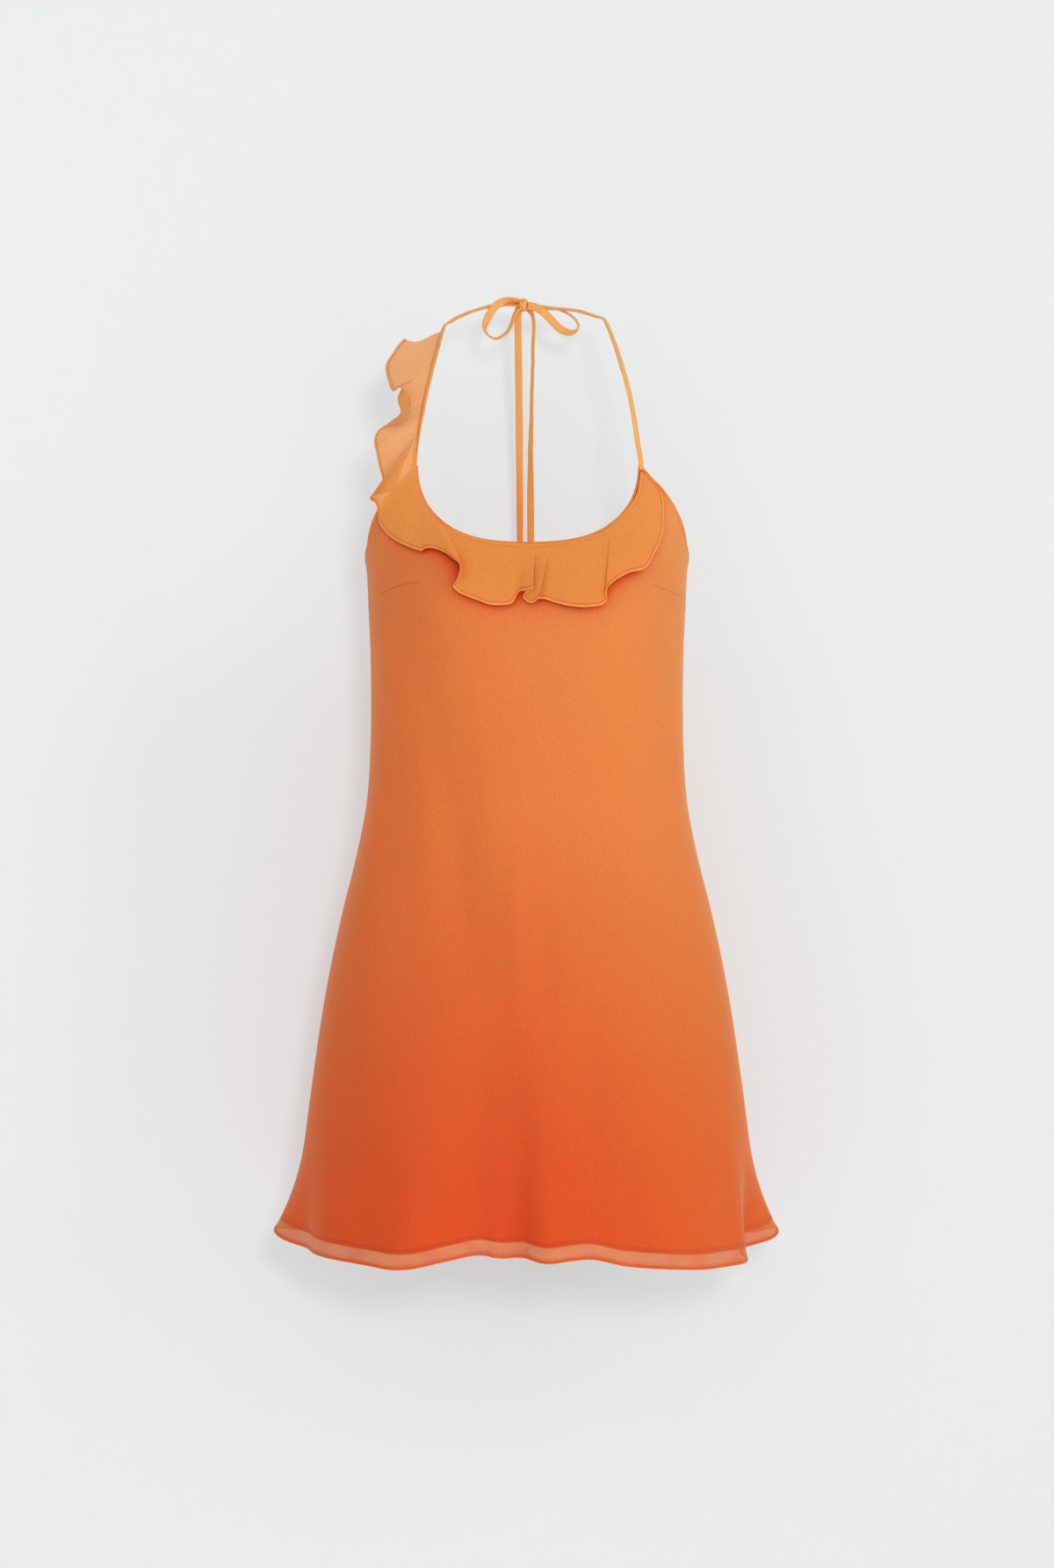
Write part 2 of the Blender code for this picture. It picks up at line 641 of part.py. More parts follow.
def ruffle_points(steps, rows):
    """The flounce's grid, from its sewn edge out to its waved free edge."""
    root_table = np.array(ROOT)
    root_stations = arc_stations(root_table[:, :2])
    root_stations = root_stations / root_stations[-1]
    wave_table = np.array(WAVES)
    wave_stations = arc_stations(wave_table[:, 1:])
    at = np.linspace(0, wave_stations[-1], steps + 1)
    along, *edge = (through(wave_stations, wave_table[:, k], at) for k in range(4))
    root = [through(root_stations, root_table[:, k], along) for k in range(3)]
    out = np.linspace(0, 1, rows + 1)[:, None]
    across = root[0] + (edge[0] - root[0]) * out
    height = root[1] + (edge[1] - root[1]) * out
    stand = root[2] + (edge[2] - root[2]) * out**WAVE_GROWTH
    for centre, spread, shift, rise, lean in BELLIES:
        bulge = np.exp(-(((along - centre) / spread) ** 2)) * np.sin(math.pi * out)
        across = across + shift * bulge
        height = height + rise * bulge
        stand = stand + lean * bulge
    depth = front_depth(across, height) - stand
    return np.stack([across, depth, height], axis=-1)


def build_ruffle(collection):
    material = new_material("ruffle_georgette", RUFFLE_COLOUR, 0.55)
    points = ruffle_points(RUFFLE_STEPS, RUFFLE_ROWS)
    sheet_object("neck_ruffle", points, RUFFLE_WALL, material, collection)


def tape_points(route, width):
    """A tape's grid: two edges along a smooth route, rolled by the route's turn."""
    table = np.array(route, float)
    stations = arc_stations(table[:, :3])
    steps = max(4, round(stations[-1] / TAPE_STEP))
    steps = min(steps, 34)
    at = np.linspace(0, stations[-1], steps + 1)
    across, depth, height, turn = (through(stations, table[:, k], at) for k in range(4))
    centre = np.stack([across, depth - NAPE_BACK, height], axis=-1)
    along = np.gradient(centre, at, axis=0)
    along = along / np.linalg.norm(along, axis=1, keepdims=True)
    front = np.array([0.0, -1.0, 0.0])
    flat = front - along * (along @ front)[:, None]
    flat = flat / np.linalg.norm(flat, axis=1, keepdims=True)
    side = np.cross(along, flat)
    turn = np.radians(turn)[:, None]
    edge = side * np.cos(turn) - flat * np.sin(turn)
    return np.stack([centre - edge * width / 2, centre + edge * width / 2], axis=0)


def build_ties(collection):
    material = new_material("tie_georgette", TIE_COLOUR, 0.5)
    tapes = (
        ("strap_left", STRAP_LEFT, STRAP_LEFT_WIDTH),
        ("strap_right", STRAP_RIGHT, STRAP_RIGHT_WIDTH),
        ("bow_loop_left", LOOP_LEFT, LOOP_WIDTH),
        ("bow_loop_right", LOOP_RIGHT, LOOP_WIDTH),
        ("tail_left", TAIL_LEFT, TAIL_WIDTH),
        ("tail_right", TAIL_RIGHT, TAIL_WIDTH),
    )
    for name, route, width in tapes:
        sheet_object(name, tape_points(route, width), TAPE_WALL, material, collection)
    mesh = bpy.data.meshes.new("bow_knot")
    ball = bmesh.new()
    bmesh.ops.create_uvsphere(ball, u_segments=16, v_segments=10, radius=1.0)
    bmesh.ops.scale(ball, vec=KNOT_RADII, verts=ball.verts)
    ball.to_mesh(mesh)
    ball.free()
    mesh.materials.append(material)
    mesh.shade_smooth()
    knot = bpy.data.objects.new("bow_knot", mesh)
    knot.location = (KNOT_CENTRE[0], KNOT_CENTRE[1] - NAPE_BACK, KNOT_CENTRE[2])
    collection.objects.link(knot)


def main():
    for old in list(bpy.data.objects):
        bpy.data.objects.remove(old)
    collection = bpy.data.collections.new("halter_dress")
    bpy.context.scene.collection.children.link(collection)
    build_panels(collection)
    build_ruffle(collection)
    build_ties(collection)


main()
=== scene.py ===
"""The looks of a sleeveless halter mini dress: georgette shell, lining, flounce, ties and bow.

Metres, +Z up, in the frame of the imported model. The front faces -Y and the nape is the origin.
Tables that go through metres() give their lengths in millimetres. Angles are in degrees.
"""

import math

import bmesh
import bpy
import numpy as np
from mathutils import Matrix, Vector


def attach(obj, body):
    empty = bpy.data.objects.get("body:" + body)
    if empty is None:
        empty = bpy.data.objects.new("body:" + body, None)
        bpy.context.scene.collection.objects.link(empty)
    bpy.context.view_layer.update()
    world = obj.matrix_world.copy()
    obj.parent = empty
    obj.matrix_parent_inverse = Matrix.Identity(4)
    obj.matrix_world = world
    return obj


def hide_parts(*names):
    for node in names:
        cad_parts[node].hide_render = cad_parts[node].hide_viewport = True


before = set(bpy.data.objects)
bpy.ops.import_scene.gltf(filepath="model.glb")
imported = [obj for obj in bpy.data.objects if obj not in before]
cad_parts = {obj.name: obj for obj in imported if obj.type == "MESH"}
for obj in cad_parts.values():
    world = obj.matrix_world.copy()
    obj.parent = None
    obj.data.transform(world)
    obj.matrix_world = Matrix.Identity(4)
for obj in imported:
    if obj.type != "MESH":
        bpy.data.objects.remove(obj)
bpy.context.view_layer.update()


def metres(lengths, table):
    """A table as an array in metres. The columns that lengths marks with a 1 are in millimetres."""
    return np.array(table) * [0.001 if mark == "1" else 1.0 for mark in lengths]


# ---------------------------------------------------------------- the dress's form, as in the part
NAPE_BACK = 0.0465  # the nape lies this far behind the side seams
LINING_INSET = 0.0017  # the lining's middle lies this far inside the shell's
LINING_SHORT = 0.0140  # it ends this far above the shell's hem
LINING_DROP = 0.0020  # and starts this far below its upper edge
SIDE_SEAM = 90.0  # degrees from the front's middle, where the panels meet
SEAM_DEPTH, SEAM_SPREAD = 0.0006, 0.45  # a side seam's valley, in metres and degrees
ROUNDNESS = 2.3  # power of the ring's superellipse

# The worn form. Columns: height, half_width, depth in front and at the back of the side seams
FIGURE = metres("1111", (
    (-15, 140, 4, 50), (-30, 150, 26, 60), (-60, 160, 55, 75), (-90, 167, 76, 85), (-130, 172, 94, 95),
    (-170, 170, 106, 100), (-200, 163, 112, 102), (-230, 153, 116, 101), (-250, 150, 118, 100),
    (-290, 147.8, 118, 96), (-330, 146, 115, 90), (-370, 145.4, 110, 84), (-420, 146, 106, 80),
    (-470, 149.2, 105, 86), (-520, 158.7, 108, 98), (-570, 171.2, 113, 110), (-620, 182.2, 119, 119),
    (-670, 191.2, 126, 126), (-720, 198.5, 132, 131), (-770, 205.2, 139, 136), (-820, 211, 147, 141),
    (-890, 219, 158, 149),
))
FIGURE_COLUMNS = ("height", "half_width", "front", "back")
# The bust. Columns: angle, height, push, spread in degrees, spread in height
BUST = metres("01101", (
    (-34, -285, 7, 20, 55), (34, -285, 7, 20, 55),
))
# The skirt's folds. Columns: angle, push at the hem, spread, height where it starts, growth
FOLDS = metres("01010", (
    (-90, 19, 9.5, -775, 2.2), (-74, -5, 6, -740, 1.6), (-58, 3, 9, -700, 1.5), (-37, 14, 12, -600, 1.6),
    (-17, -8, 8, -560, 1.5), (-4, -9, 6, -520, 1.4), (7, 9, 6, -560, 1.6), (22, -6, 7, -620, 1.5),
    (34, -4, 5, -640, 1.6), (47, 13, 11, -640, 1.6), (68, 3, 5, -700, 1.6), (77.5, -15, 6, -765, 1.8),
    (90, 17.8, 8, -775, 2.2), (103, -5, 7, -760, 1.8), (117, 12, 9, -640, 1.6), (133, -10, 8, -600, 1.5),
    (150, 13, 10, -560, 1.5), (166, -9, 8, -580, 1.5), (181, 11, 9, -540, 1.5), (199, -10, 9, -600, 1.5),
    (216, 14, 10, -580, 1.6), (233, -9, 8, -640, 1.5), (247, 9, 8, -680, 1.6), (258, -6, 5, -760, 1.8),
))
# The hem's height round the skirt. Columns: angle, height
HEM = metres("01", (
    (-90, -869), (-80, -877), (-70, -880.5), (-58, -883), (-45, -885), (-35, -886.2), (-25, -879),
    (-17, -874.5), (-9, -877), (-1, -876.5), (5, -879.5), (14, -878.5), (22, -878.5), (32, -884.8),
    (42, -887.2), (55, -889.4), (68, -889.5), (78, -883), (85, -876.5), (90, -870), (100, -878), (115, -881),
    (132, -876), (150, -880), (166, -875), (181, -879), (199, -875), (216, -881), (233, -876), (250, -880),
    (270, -869),
))
# Columns: across, height. Half of the scoop from its middle to the strap, then the armhole.
SCOOP = metres("11", (
    (0, -237), (21.5, -236.2), (42, -233.6), (54.5, -230), (64.5, -225.8), (80, -214.8), (90.2, -203),
    (96.3, -191), (99.5, -179), (101, -165.6),
))
ARMHOLE = metres("11", (
    (105.7, -168.2), (110.8, -174.2), (119, -181.5), (130.8, -195), (138.7, -207.5), (144, -219), (148, -235),
))
SCOOP_SHIFT = 0.0010  # the scoop's middle lies this far to the right
SHIFT_FADE_FROM, SHIFT_FADE_LENGTH = 0.105, 0.040
UNDERARM = -0.2500
# The back's upper edge. Columns: angle, height
BACK_EDGE = metres("01", (
    (90, -250), (104, -259), (122, -274), (145, -291), (180, -299), (215, -291), (238, -274), (256, -259),
    (270, -250),
))
ARMHOLE_STEPS = 9
SCOOP_STEPS = 16
BACK_STEPS = 24
HEM_CROWDING = 1.35  # power that crowds the columns towards the side seams
APEX_HEM_ANGLES = (50.0, 46.0)  # where the armhole's and the scoop's last columns reach the hem
SPREAD_SHARE = 0.45  # share of the height over which the columns fan out to their hem angles
LEVEL_SHARE = 0.50  # share of the height over which the upper edge's shape fades to level rows
ROW_CROWDING = 0.10  # a little finer at the top and the hem

# Soft creases of the hanging cloth. Columns: angle and height where a crease starts and ends,
# its push (negative is a furrow) and its half width in metres.
CREASES = metres("010111", (
    (-76, -262, -38, -318, -0.7, 4), (-82, -300, -52, -345, 0.8, 11), (-80, -330, -60, -430, -0.8, 12),
    (-50, -300, -44, -520, 1.1, 17), (-26, -300, -30, -560, -0.9, 19), (-6, -300, -9, -620, 0.8, 20),
    (14, -300, 18, -600, -0.7, 18), (78, -262, 52, -300, -0.6, 4), (52, -310, 56, -500, 1.2, 16),
    (70, -300, 66, -440, -0.8, 11), (76, -420, 60, -560, 0.9, 14), (-70, -430, -56, -620, 0.9, 15),
    (100, -290, 122, -380, -0.9, 12), (126, -300, 132, -520, 1.2, 17), (158, -320, 154, -560, -1, 18),
    (180, -330, 183, -600, 0.9, 20), (204, -320, 208, -560, -1, 18), (232, -300, 228, -520, 1.2, 17),
    (260, -290, 240, -380, -0.9, 12), (-56, -285, -22, -640, -3, 22), (-74, -460, -44, -800, 2.8, 26),
    (-30, -330, -6, -600, 1.6, 22), (-4, -520, -3, -860, 3.4, 15), (8, -560, 9, -870, -2.6, 15),
    (25, -660, 28, -890, -3.4, 19), (40, -330, 46, -620, 1.8, 20), (64, -440, 62, -640, -1.4, 16),
    (112, -420, 124, -560, 0.9, 15), (142, -600, 146, -890, -3.4, 17), (182, -600, 180, -890, 2.6, 19),
    (214, -600, 218, -890, 3, 19), (232, -620, 236, -890, -3.6, 16), (126, -285, 158, -600, -2.6, 22),
    (236, -285, 204, -600, -2.6, 22), (248, -420, 236, -560, 0.9, 15),
))
# The bust darts' valleys, from the side seam to the dart's tip. Columns as above
DART_VALLEYS = metres("010111", (
    (-65.8, -279.6, -42.3, -272.1, -0.6, 2.4), (74.2, -281.4, 53.5, -273.8, -0.6, 2.4),
))
# Small puckers where the hem's stitches pull. Columns: angle, depth, half width in degrees
PUCKERS = metres("010", (
    (-35, -2.2, 1.6), (-14, -1.8, 1.4), (-0.5, -2.2, 1.3), (34, -1.6, 1.6), (104, -1.5, 1.6),
    (133, -1.8, 1.8), (166, -1.6, 1.6), (199, -1.8, 1.8), (233, -1.6, 1.6),
))
CLOTH_TO_A_RADIAN = 0.165  # metres, near enough for a crease's width
# How a crease fades. Columns: start before its first point, fade in, run on past its last, fade out
CREASE_FADE = (0.15, 0.35, 0.15, 0.35)
DART_FADE = (0.10, 0.20, 0.05, 0.70)
PUCKER_HEIGHT = 0.018


def through(stations, values, at):
    """A smooth curve through the values, read at other stations (cubic Hermite)."""
    stations = np.asarray(stations, float)
    values = np.asarray(values, float)
    at = np.clip(np.asarray(at, float), stations[0], stations[-1])
    slopes = np.gradient(values, stations)
    place = np.clip(np.searchsorted(stations, at, side="right") - 1, 0, len(stations) - 2)
    width = stations[place + 1] - stations[place]
    t = (at - stations[place]) / width
    start = (2 * t**3 - 3 * t**2 + 1) * values[place] + (t**3 - 2 * t**2 + t) * width * slopes[place]
    end = (3 * t**2 - 2 * t**3) * values[place + 1] + (t**3 - t**2) * width * slopes[place + 1]
    return start + end


def smooth_step(share):
    share = np.clip(share, 0.0, 1.0)
    return share * share * (3 - 2 * share)


def arc_stations(points):
    """Distance along a polyline at each of its points."""
    steps = np.linalg.norm(np.diff(points, axis=0), axis=1)
    return np.concatenate([[0.0], np.cumsum(steps)])


def unit(vectors):
    return vectors / np.maximum(np.linalg.norm(vectors, axis=-1, keepdims=True), 1e-12)


def figure(heights, name):
    """A column of the FIGURE table at any height."""
    depth = -FIGURE[:, 0]
    return through(depth, FIGURE[:, FIGURE_COLUMNS.index(name)], -np.asarray(heights, float))


def turn_between(angles, centre):
    """Signed angle from a centre, across the wrap at the back."""
    return (np.asarray(angles, float) - centre + 180.0) % 360.0 - 180.0


def hem_height(angles):
    wrapped = (np.asarray(angles, float) + 90.0) % 360.0 - 90.0
    return through(HEM[:, 0], HEM[:, 1], wrapped)


def push_out(angles, heights):
    """How far the bust and the skirt's folds push the cloth outwards."""
    total = np.zeros(np.broadcast(angles, heights).shape)
    for angle, height, push, angle_spread, height_spread in BUST:
        across = (turn_between(angles, angle) / angle_spread) ** 2
        total = total + push * np.exp(-across - ((heights - height) / height_spread) ** 2)
    for angle, push, spread, start, growth in FOLDS:
        grown = np.clip((start - heights) / (start - HEM[0, 1]), 0.0, 1.1) ** growth
        total = total + push * grown * np.exp(-((turn_between(angles, angle) / spread) ** 2))
    return total


def streak(angles, heights, row, fade):
    """One soft ridge or valley along a line on the cloth."""
    angle0, height0, angle1, height1, push, half_width = row
    before, fade_in, after, fade_out = fade
    along = (math.radians(angle1 - angle0) * CLOTH_TO_A_RADIAN, height1 - height0)
    length = math.hypot(*along)
    x = np.radians(turn_between(angles, angle0)) * CLOTH_TO_A_RADIAN
    z = heights - height0
    run = (x * along[0] + z * along[1]) / length**2
    off = (x * along[1] - z * along[0]) / length
    strength = smooth_step((run + before) / fade_in) * smooth_step((1 + after - run) / fade_out)
    return push * strength * np.exp(-((off / half_width) ** 2))


def creases(angles, heights):
    """Creases, dart and seam valleys and the hem's puckers, as a push out of the surface."""
    total = np.zeros(np.broadcast(angles, heights).shape)
    for table, fade in ((CREASES, CREASE_FADE), (DART_VALLEYS, DART_FADE)):
        for row in table:
            total = total + streak(angles, heights, row, fade)
    for seam in (-90, 90):
        total = total - SEAM_DEPTH * np.exp(-((turn_between(angles, seam) / SEAM_SPREAD) ** 2))
    above = heights - hem_height(angles)
    for angle, push, spread in PUCKERS:
        strength = np.exp(-((above / PUCKER_HEIGHT) ** 2))
        total = total + push * strength * np.exp(-((turn_between(angles, angle) / spread) ** 2))
    return total


def skin(angles, heights, soft=False):
    """Points of the cloth's middle surface at angles from the front centre, in degrees."""
    angles, heights = np.broadcast_arrays(np.asarray(angles, float), np.asarray(heights, float))
    sine = np.sin(np.radians(angles))
    cosine = np.cos(np.radians(angles))
    depth = np.where(cosine > 0, figure(heights, "front"), figure(heights, "back"))
    width = figure(heights, "half_width")
    round_sum = (np.abs(sine) / width) ** ROUNDNESS + (np.abs(cosine) / depth) ** ROUNDNESS
    radius = round_sum ** (-1 / ROUNDNESS)
    radius = radius + push_out(angles, heights)
    if soft:
        radius = radius + creases(angles, heights)
    return np.stack([radius * sine, -radius * cosine - NAPE_BACK, heights], axis=-1)


def outward(points):
    """Outward directions at a grid's points."""
    down = np.gradient(points, axis=0)
    right = np.gradient(points, axis=1)
    return unit(np.cross(down, right))


HALVINGS = 26


def front_angle(across, heights):
    """The angle at which the front of the figure is this far across."""
    across, heights = np.broadcast_arrays(np.asarray(across, float), np.asarray(heights, float))
    low = np.zeros(across.shape)
    high = np.full(across.shape, 90.0)
    side = np.where(across < 0, -1.0, 1.0)
    for _ in range(HALVINGS):
        middle = (low + high) / 2
        inside = np.abs(skin(side * middle, heights)[..., 0]) < np.abs(across)
        low = np.where(inside, middle, low)
        high = np.where(inside, high, middle)
    return side * (low + high) / 2


def front_depth(across, heights):
    """The front surface's Y at a place seen from the front."""
    return skin(front_angle(across, heights), heights)[..., 1]


def even_along(points, steps):
    """A curve through points, sampled at even distances."""
    points = np.asarray(points, float)
    stations = arc_stations(points)
    at = np.linspace(0, stations[-1], steps + 1)
    return np.stack([through(stations, points[:, k], at) for k in range(points.shape[1])], axis=-1)


# ---------------------------------------------------------------- mesh helpers
def linked(name, data):
    """A new object in the scene."""
    thing = bpy.data.objects.new(name, data)
    bpy.context.scene.collection.objects.link(thing)
    return thing


def mesh_object(name, verts, faces, material):
    mesh = bpy.data.meshes.new(name)
    mesh.from_pydata(verts, [], faces)
    mesh.materials.append(material)
    mesh.shade_smooth()
    return linked(name, mesh)


def grid_object(name, points, uv, material, wrap=False):
    """A smooth sheet from a grid of points, with the cloth's own lengths in metres as its UVs."""
    rows, columns, _ = points.shape
    here = np.arange(rows * columns).reshape(rows, columns)
    if wrap:
        here = np.concatenate([here, here[:, :1]], axis=1)
    quads = np.stack([here[:-1, :-1], here[1:, :-1], here[1:, 1:], here[:-1, 1:]], axis=-1).reshape(-1, 4)
    piece = mesh_object(name, points.reshape(-1, 3).tolist(), quads.tolist(), material)
    if uv is not None:
        corners = [vert for face in piece.data.polygons for vert in face.vertices]
        flat = uv.reshape(-1, 2)[np.array(corners)]
        piece.data.uv_layers.new(name="cloth").data.foreach_set("uv", flat.astype(np.float32).ravel())
    return piece


def bead(name, path, across, normal, half_width, half_height, material, sides=10, squareness=2.6):
    """A flattened roll of cloth along a path, such as a rolled hem. across and normal are its axes."""
    angles = np.arange(sides) * 2 * math.pi / sides
    x = np.sign(np.cos(angles)) * np.abs(np.cos(angles)) ** (2 / squareness)
    y = np.sign(np.sin(angles)) * np.abs(np.sin(angles)) ** (2 / squareness)
    wide, high = (np.broadcast_to(half, len(path))[:, None, None] for half in (half_width, half_height))
    ring = across[:, None] * x[None, :, None] * wide + normal[:, None] * y[None, :, None] * high
    piece = grid_object(name, path[:, None] + ring, None, material, wrap=True)
    mesh = bmesh.new()
    mesh.from_mesh(piece.data)
    mesh.verts.ensure_lookup_table()
    last = (len(path) - 1) * sides
    mesh.faces.new([mesh.verts[k] for k in range(sides)])
    mesh.faces.new([mesh.verts[last + k] for k in reversed(range(sides))])
    bmesh.ops.recalc_face_normals(mesh, faces=mesh.faces)
    mesh.to_mesh(piece.data)
    mesh.free()
    piece.data.shade_smooth()
    return piece


# Columns: pitch, length, half width, lift off the cloth
STITCHES = {
    "dart": (0.0030, 0.0019, 0.00030, 0.0003),
    "hem": (0.0030, 0.0020, 0.00022, 0.0003),
    "ruffle": (0.0024, 0.0017, 0.00030, 0.0004),
    "neck": (0.0028, 0.0018, 0.00018, 0.0002),
}
THREAD_SIDES = 6


def stitches(name, path, normal, kind, material):
    """A row of short raised threads along a path, each pointed at both ends."""
    pitch, length, half_width, lift = STITCHES[kind]
    stations = arc_stations(path)
    centres = np.arange(pitch / 2, stations[-1] - pitch / 2, pitch)
    ends = np.stack([centres - length / 2, centres, centres + length / 2])
    at = np.stack([np.interp(ends, stations, path[:, k]) for k in range(3)], axis=-1)
    up = unit(np.stack([np.interp(centres, stations, normal[:, k]) for k in range(3)], axis=-1))
    side = np.cross(unit(at[2] - at[0]), up)
    turns = np.arange(THREAD_SIDES) * 2 * math.pi / THREAD_SIDES
    around = half_width * (side[:, None] * np.cos(turns)[:, None] + up[:, None] * np.sin(turns)[:, None])
    tips = at + up * (lift - half_width)
    middle = (at[1] + up * lift)[:, None] + around
    verts = np.concatenate([tips[0][:, None], middle, tips[2][:, None]], axis=1)
    faces = []
    for first in range(0, len(centres) * verts.shape[1], verts.shape[1]):
        for turn in range(THREAD_SIDES):
            one = first + 1 + turn
            two = first + 1 + (turn + 1) % THREAD_SIDES
            faces += [(first, two, one), (first + THREAD_SIDES + 1, one, two)]
    return mesh_object(name, verts.reshape(-1, 3).tolist(), faces, material)


# ---------------------------------------------------------------- materials
# The dip-dyed colour, light orange at the neck to red orange at the hem.
# Columns: height, colour
DYE = (
    (-0.020, (0.86, 0.345, 0.100)),
    (-0.160, (0.85, 0.285, 0.080)),
    (-0.260, (0.84, 0.226, 0.058)),
    (-0.360, (0.84, 0.214, 0.052)),
    (-0.480, (0.84, 0.195, 0.047)),
    (-0.600, (0.80, 0.148, 0.035)),
    (-0.720, (0.78, 0.104, 0.023)),
    (-0.800, (0.78, 0.081, 0.017)),
    (-0.890, (0.79, 0.070, 0.014)),
)
UNLINED = (0.80, 0.215, 0.062, 1.0)  # the single georgette below the lining's hem
# The flounce and the ties, a little paler. Columns as above
RUFFLE_DYE = (
    (-0.020, (0.84, 0.370, 0.120)),
    (-0.130, (0.87, 0.385, 0.120)),
    (-0.185, (0.90, 0.335, 0.080)),
    (-0.300, (0.90, 0.310, 0.068)),
)
WHITE = (1.0, 1.0, 1.0, 1.0)
PAINTED_LIGHT_LEAN = 1.0  # painted light: how much yellower the colour gets to a metre, from left to right, as if lit from the right
SKIRT_PAINTED_SHEEN = 2.2  # and painted sheen, towards both sides of the skirt
SKIRT_SHEEN_FROM, SKIRT_SHEEN_FULL = -0.45, -0.80
CLOUD, PEBBLE, THREAD, PATCH = 9.0, 1150.0, 1500.0, 34.0  # scales of the dye's clouds and the crepe
CLOUD_SHARE = 0.12
MOTTLE = (0.31, 0.81, 0.86, 1.12)  # the noise's range, and the dye's strength over it
PATCHES = (0.30, 0.62, 0.45)  # the noise's range, and the least bare share over it
THREAD_SHARE = 0.6
FINISH = {
    "Roughness": 0.62,
    "Specular IOR Level": 0.08,
    "Sheen Weight": 0.35,
    "Sheen Roughness": 0.45,
    "Sheen Tint": (1.0, 0.62, 0.28, 1.0),
}


def feed(tree, node, inputs):
    """Fill a node's inputs: one that is given as a socket is linked, any other is set."""
    for key, value in dict(inputs).items():
        if isinstance(value, bpy.types.NodeSocket):
            tree.links.new(value, node.inputs[key])
        else:
            node.inputs[key].default_value = value
    return node


def add(tree, kind, inputs=(), **settings):
    """A new shader node with its settings and its inputs."""
    node = tree.nodes.new("ShaderNode" + kind)
    for name, value in settings.items():
        setattr(node, name, value)
    return feed(tree, node, inputs)


def new_material(name):
    """A material's node tree, its Principled shader and the material."""
    material = bpy.data.materials.new(name)
    material.use_nodes = True
    return material.node_tree, material.node_tree.nodes["Principled BSDF"], material


def maths(tree, operation, *values):
    return add(tree, "Math", enumerate(values), operation=operation).outputs["Value"]


def vectors(tree, operation, *values):
    return add(tree, "VectorMath", enumerate(values), operation=operation).outputs["Vector"]


def remap(tree, value, low, high, to_low=0.0, to_high=1.0, **settings):
    """A value's place between low and high, in another range."""
    ends = {"From Min": low, "From Max": high, "To Min": to_low, "To Max": to_high}
    return add(tree, "MapRange", {"Value": value, **ends}, **settings).outputs["Result"]


def ramp(tree, factor, stops):
    """A colour ramp. Columns of stops: position, colour."""
    node = add(tree, "ValToRGB", {"Fac": factor})
    elements = node.color_ramp.elements
    for index, (position, _) in enumerate(stops):
        stop = elements[index] if index < 2 else elements.new(position)
        stop.position = position
    for stop, (_, colour) in zip(elements, stops):
        stop.color = (*colour, 1.0)
    return node.outputs["Color"]


def noise(tree, place, scale, detail):
    return add(tree, "TexNoise", {"Vector": place, "Scale": scale, "Detail": detail}).outputs["Fac"]


def mix(tree, share, first, second):
    """One shader laid over another."""
    return add(tree, "MixShader", {"Fac": share, 1: first, 2: second}).outputs["Shader"]


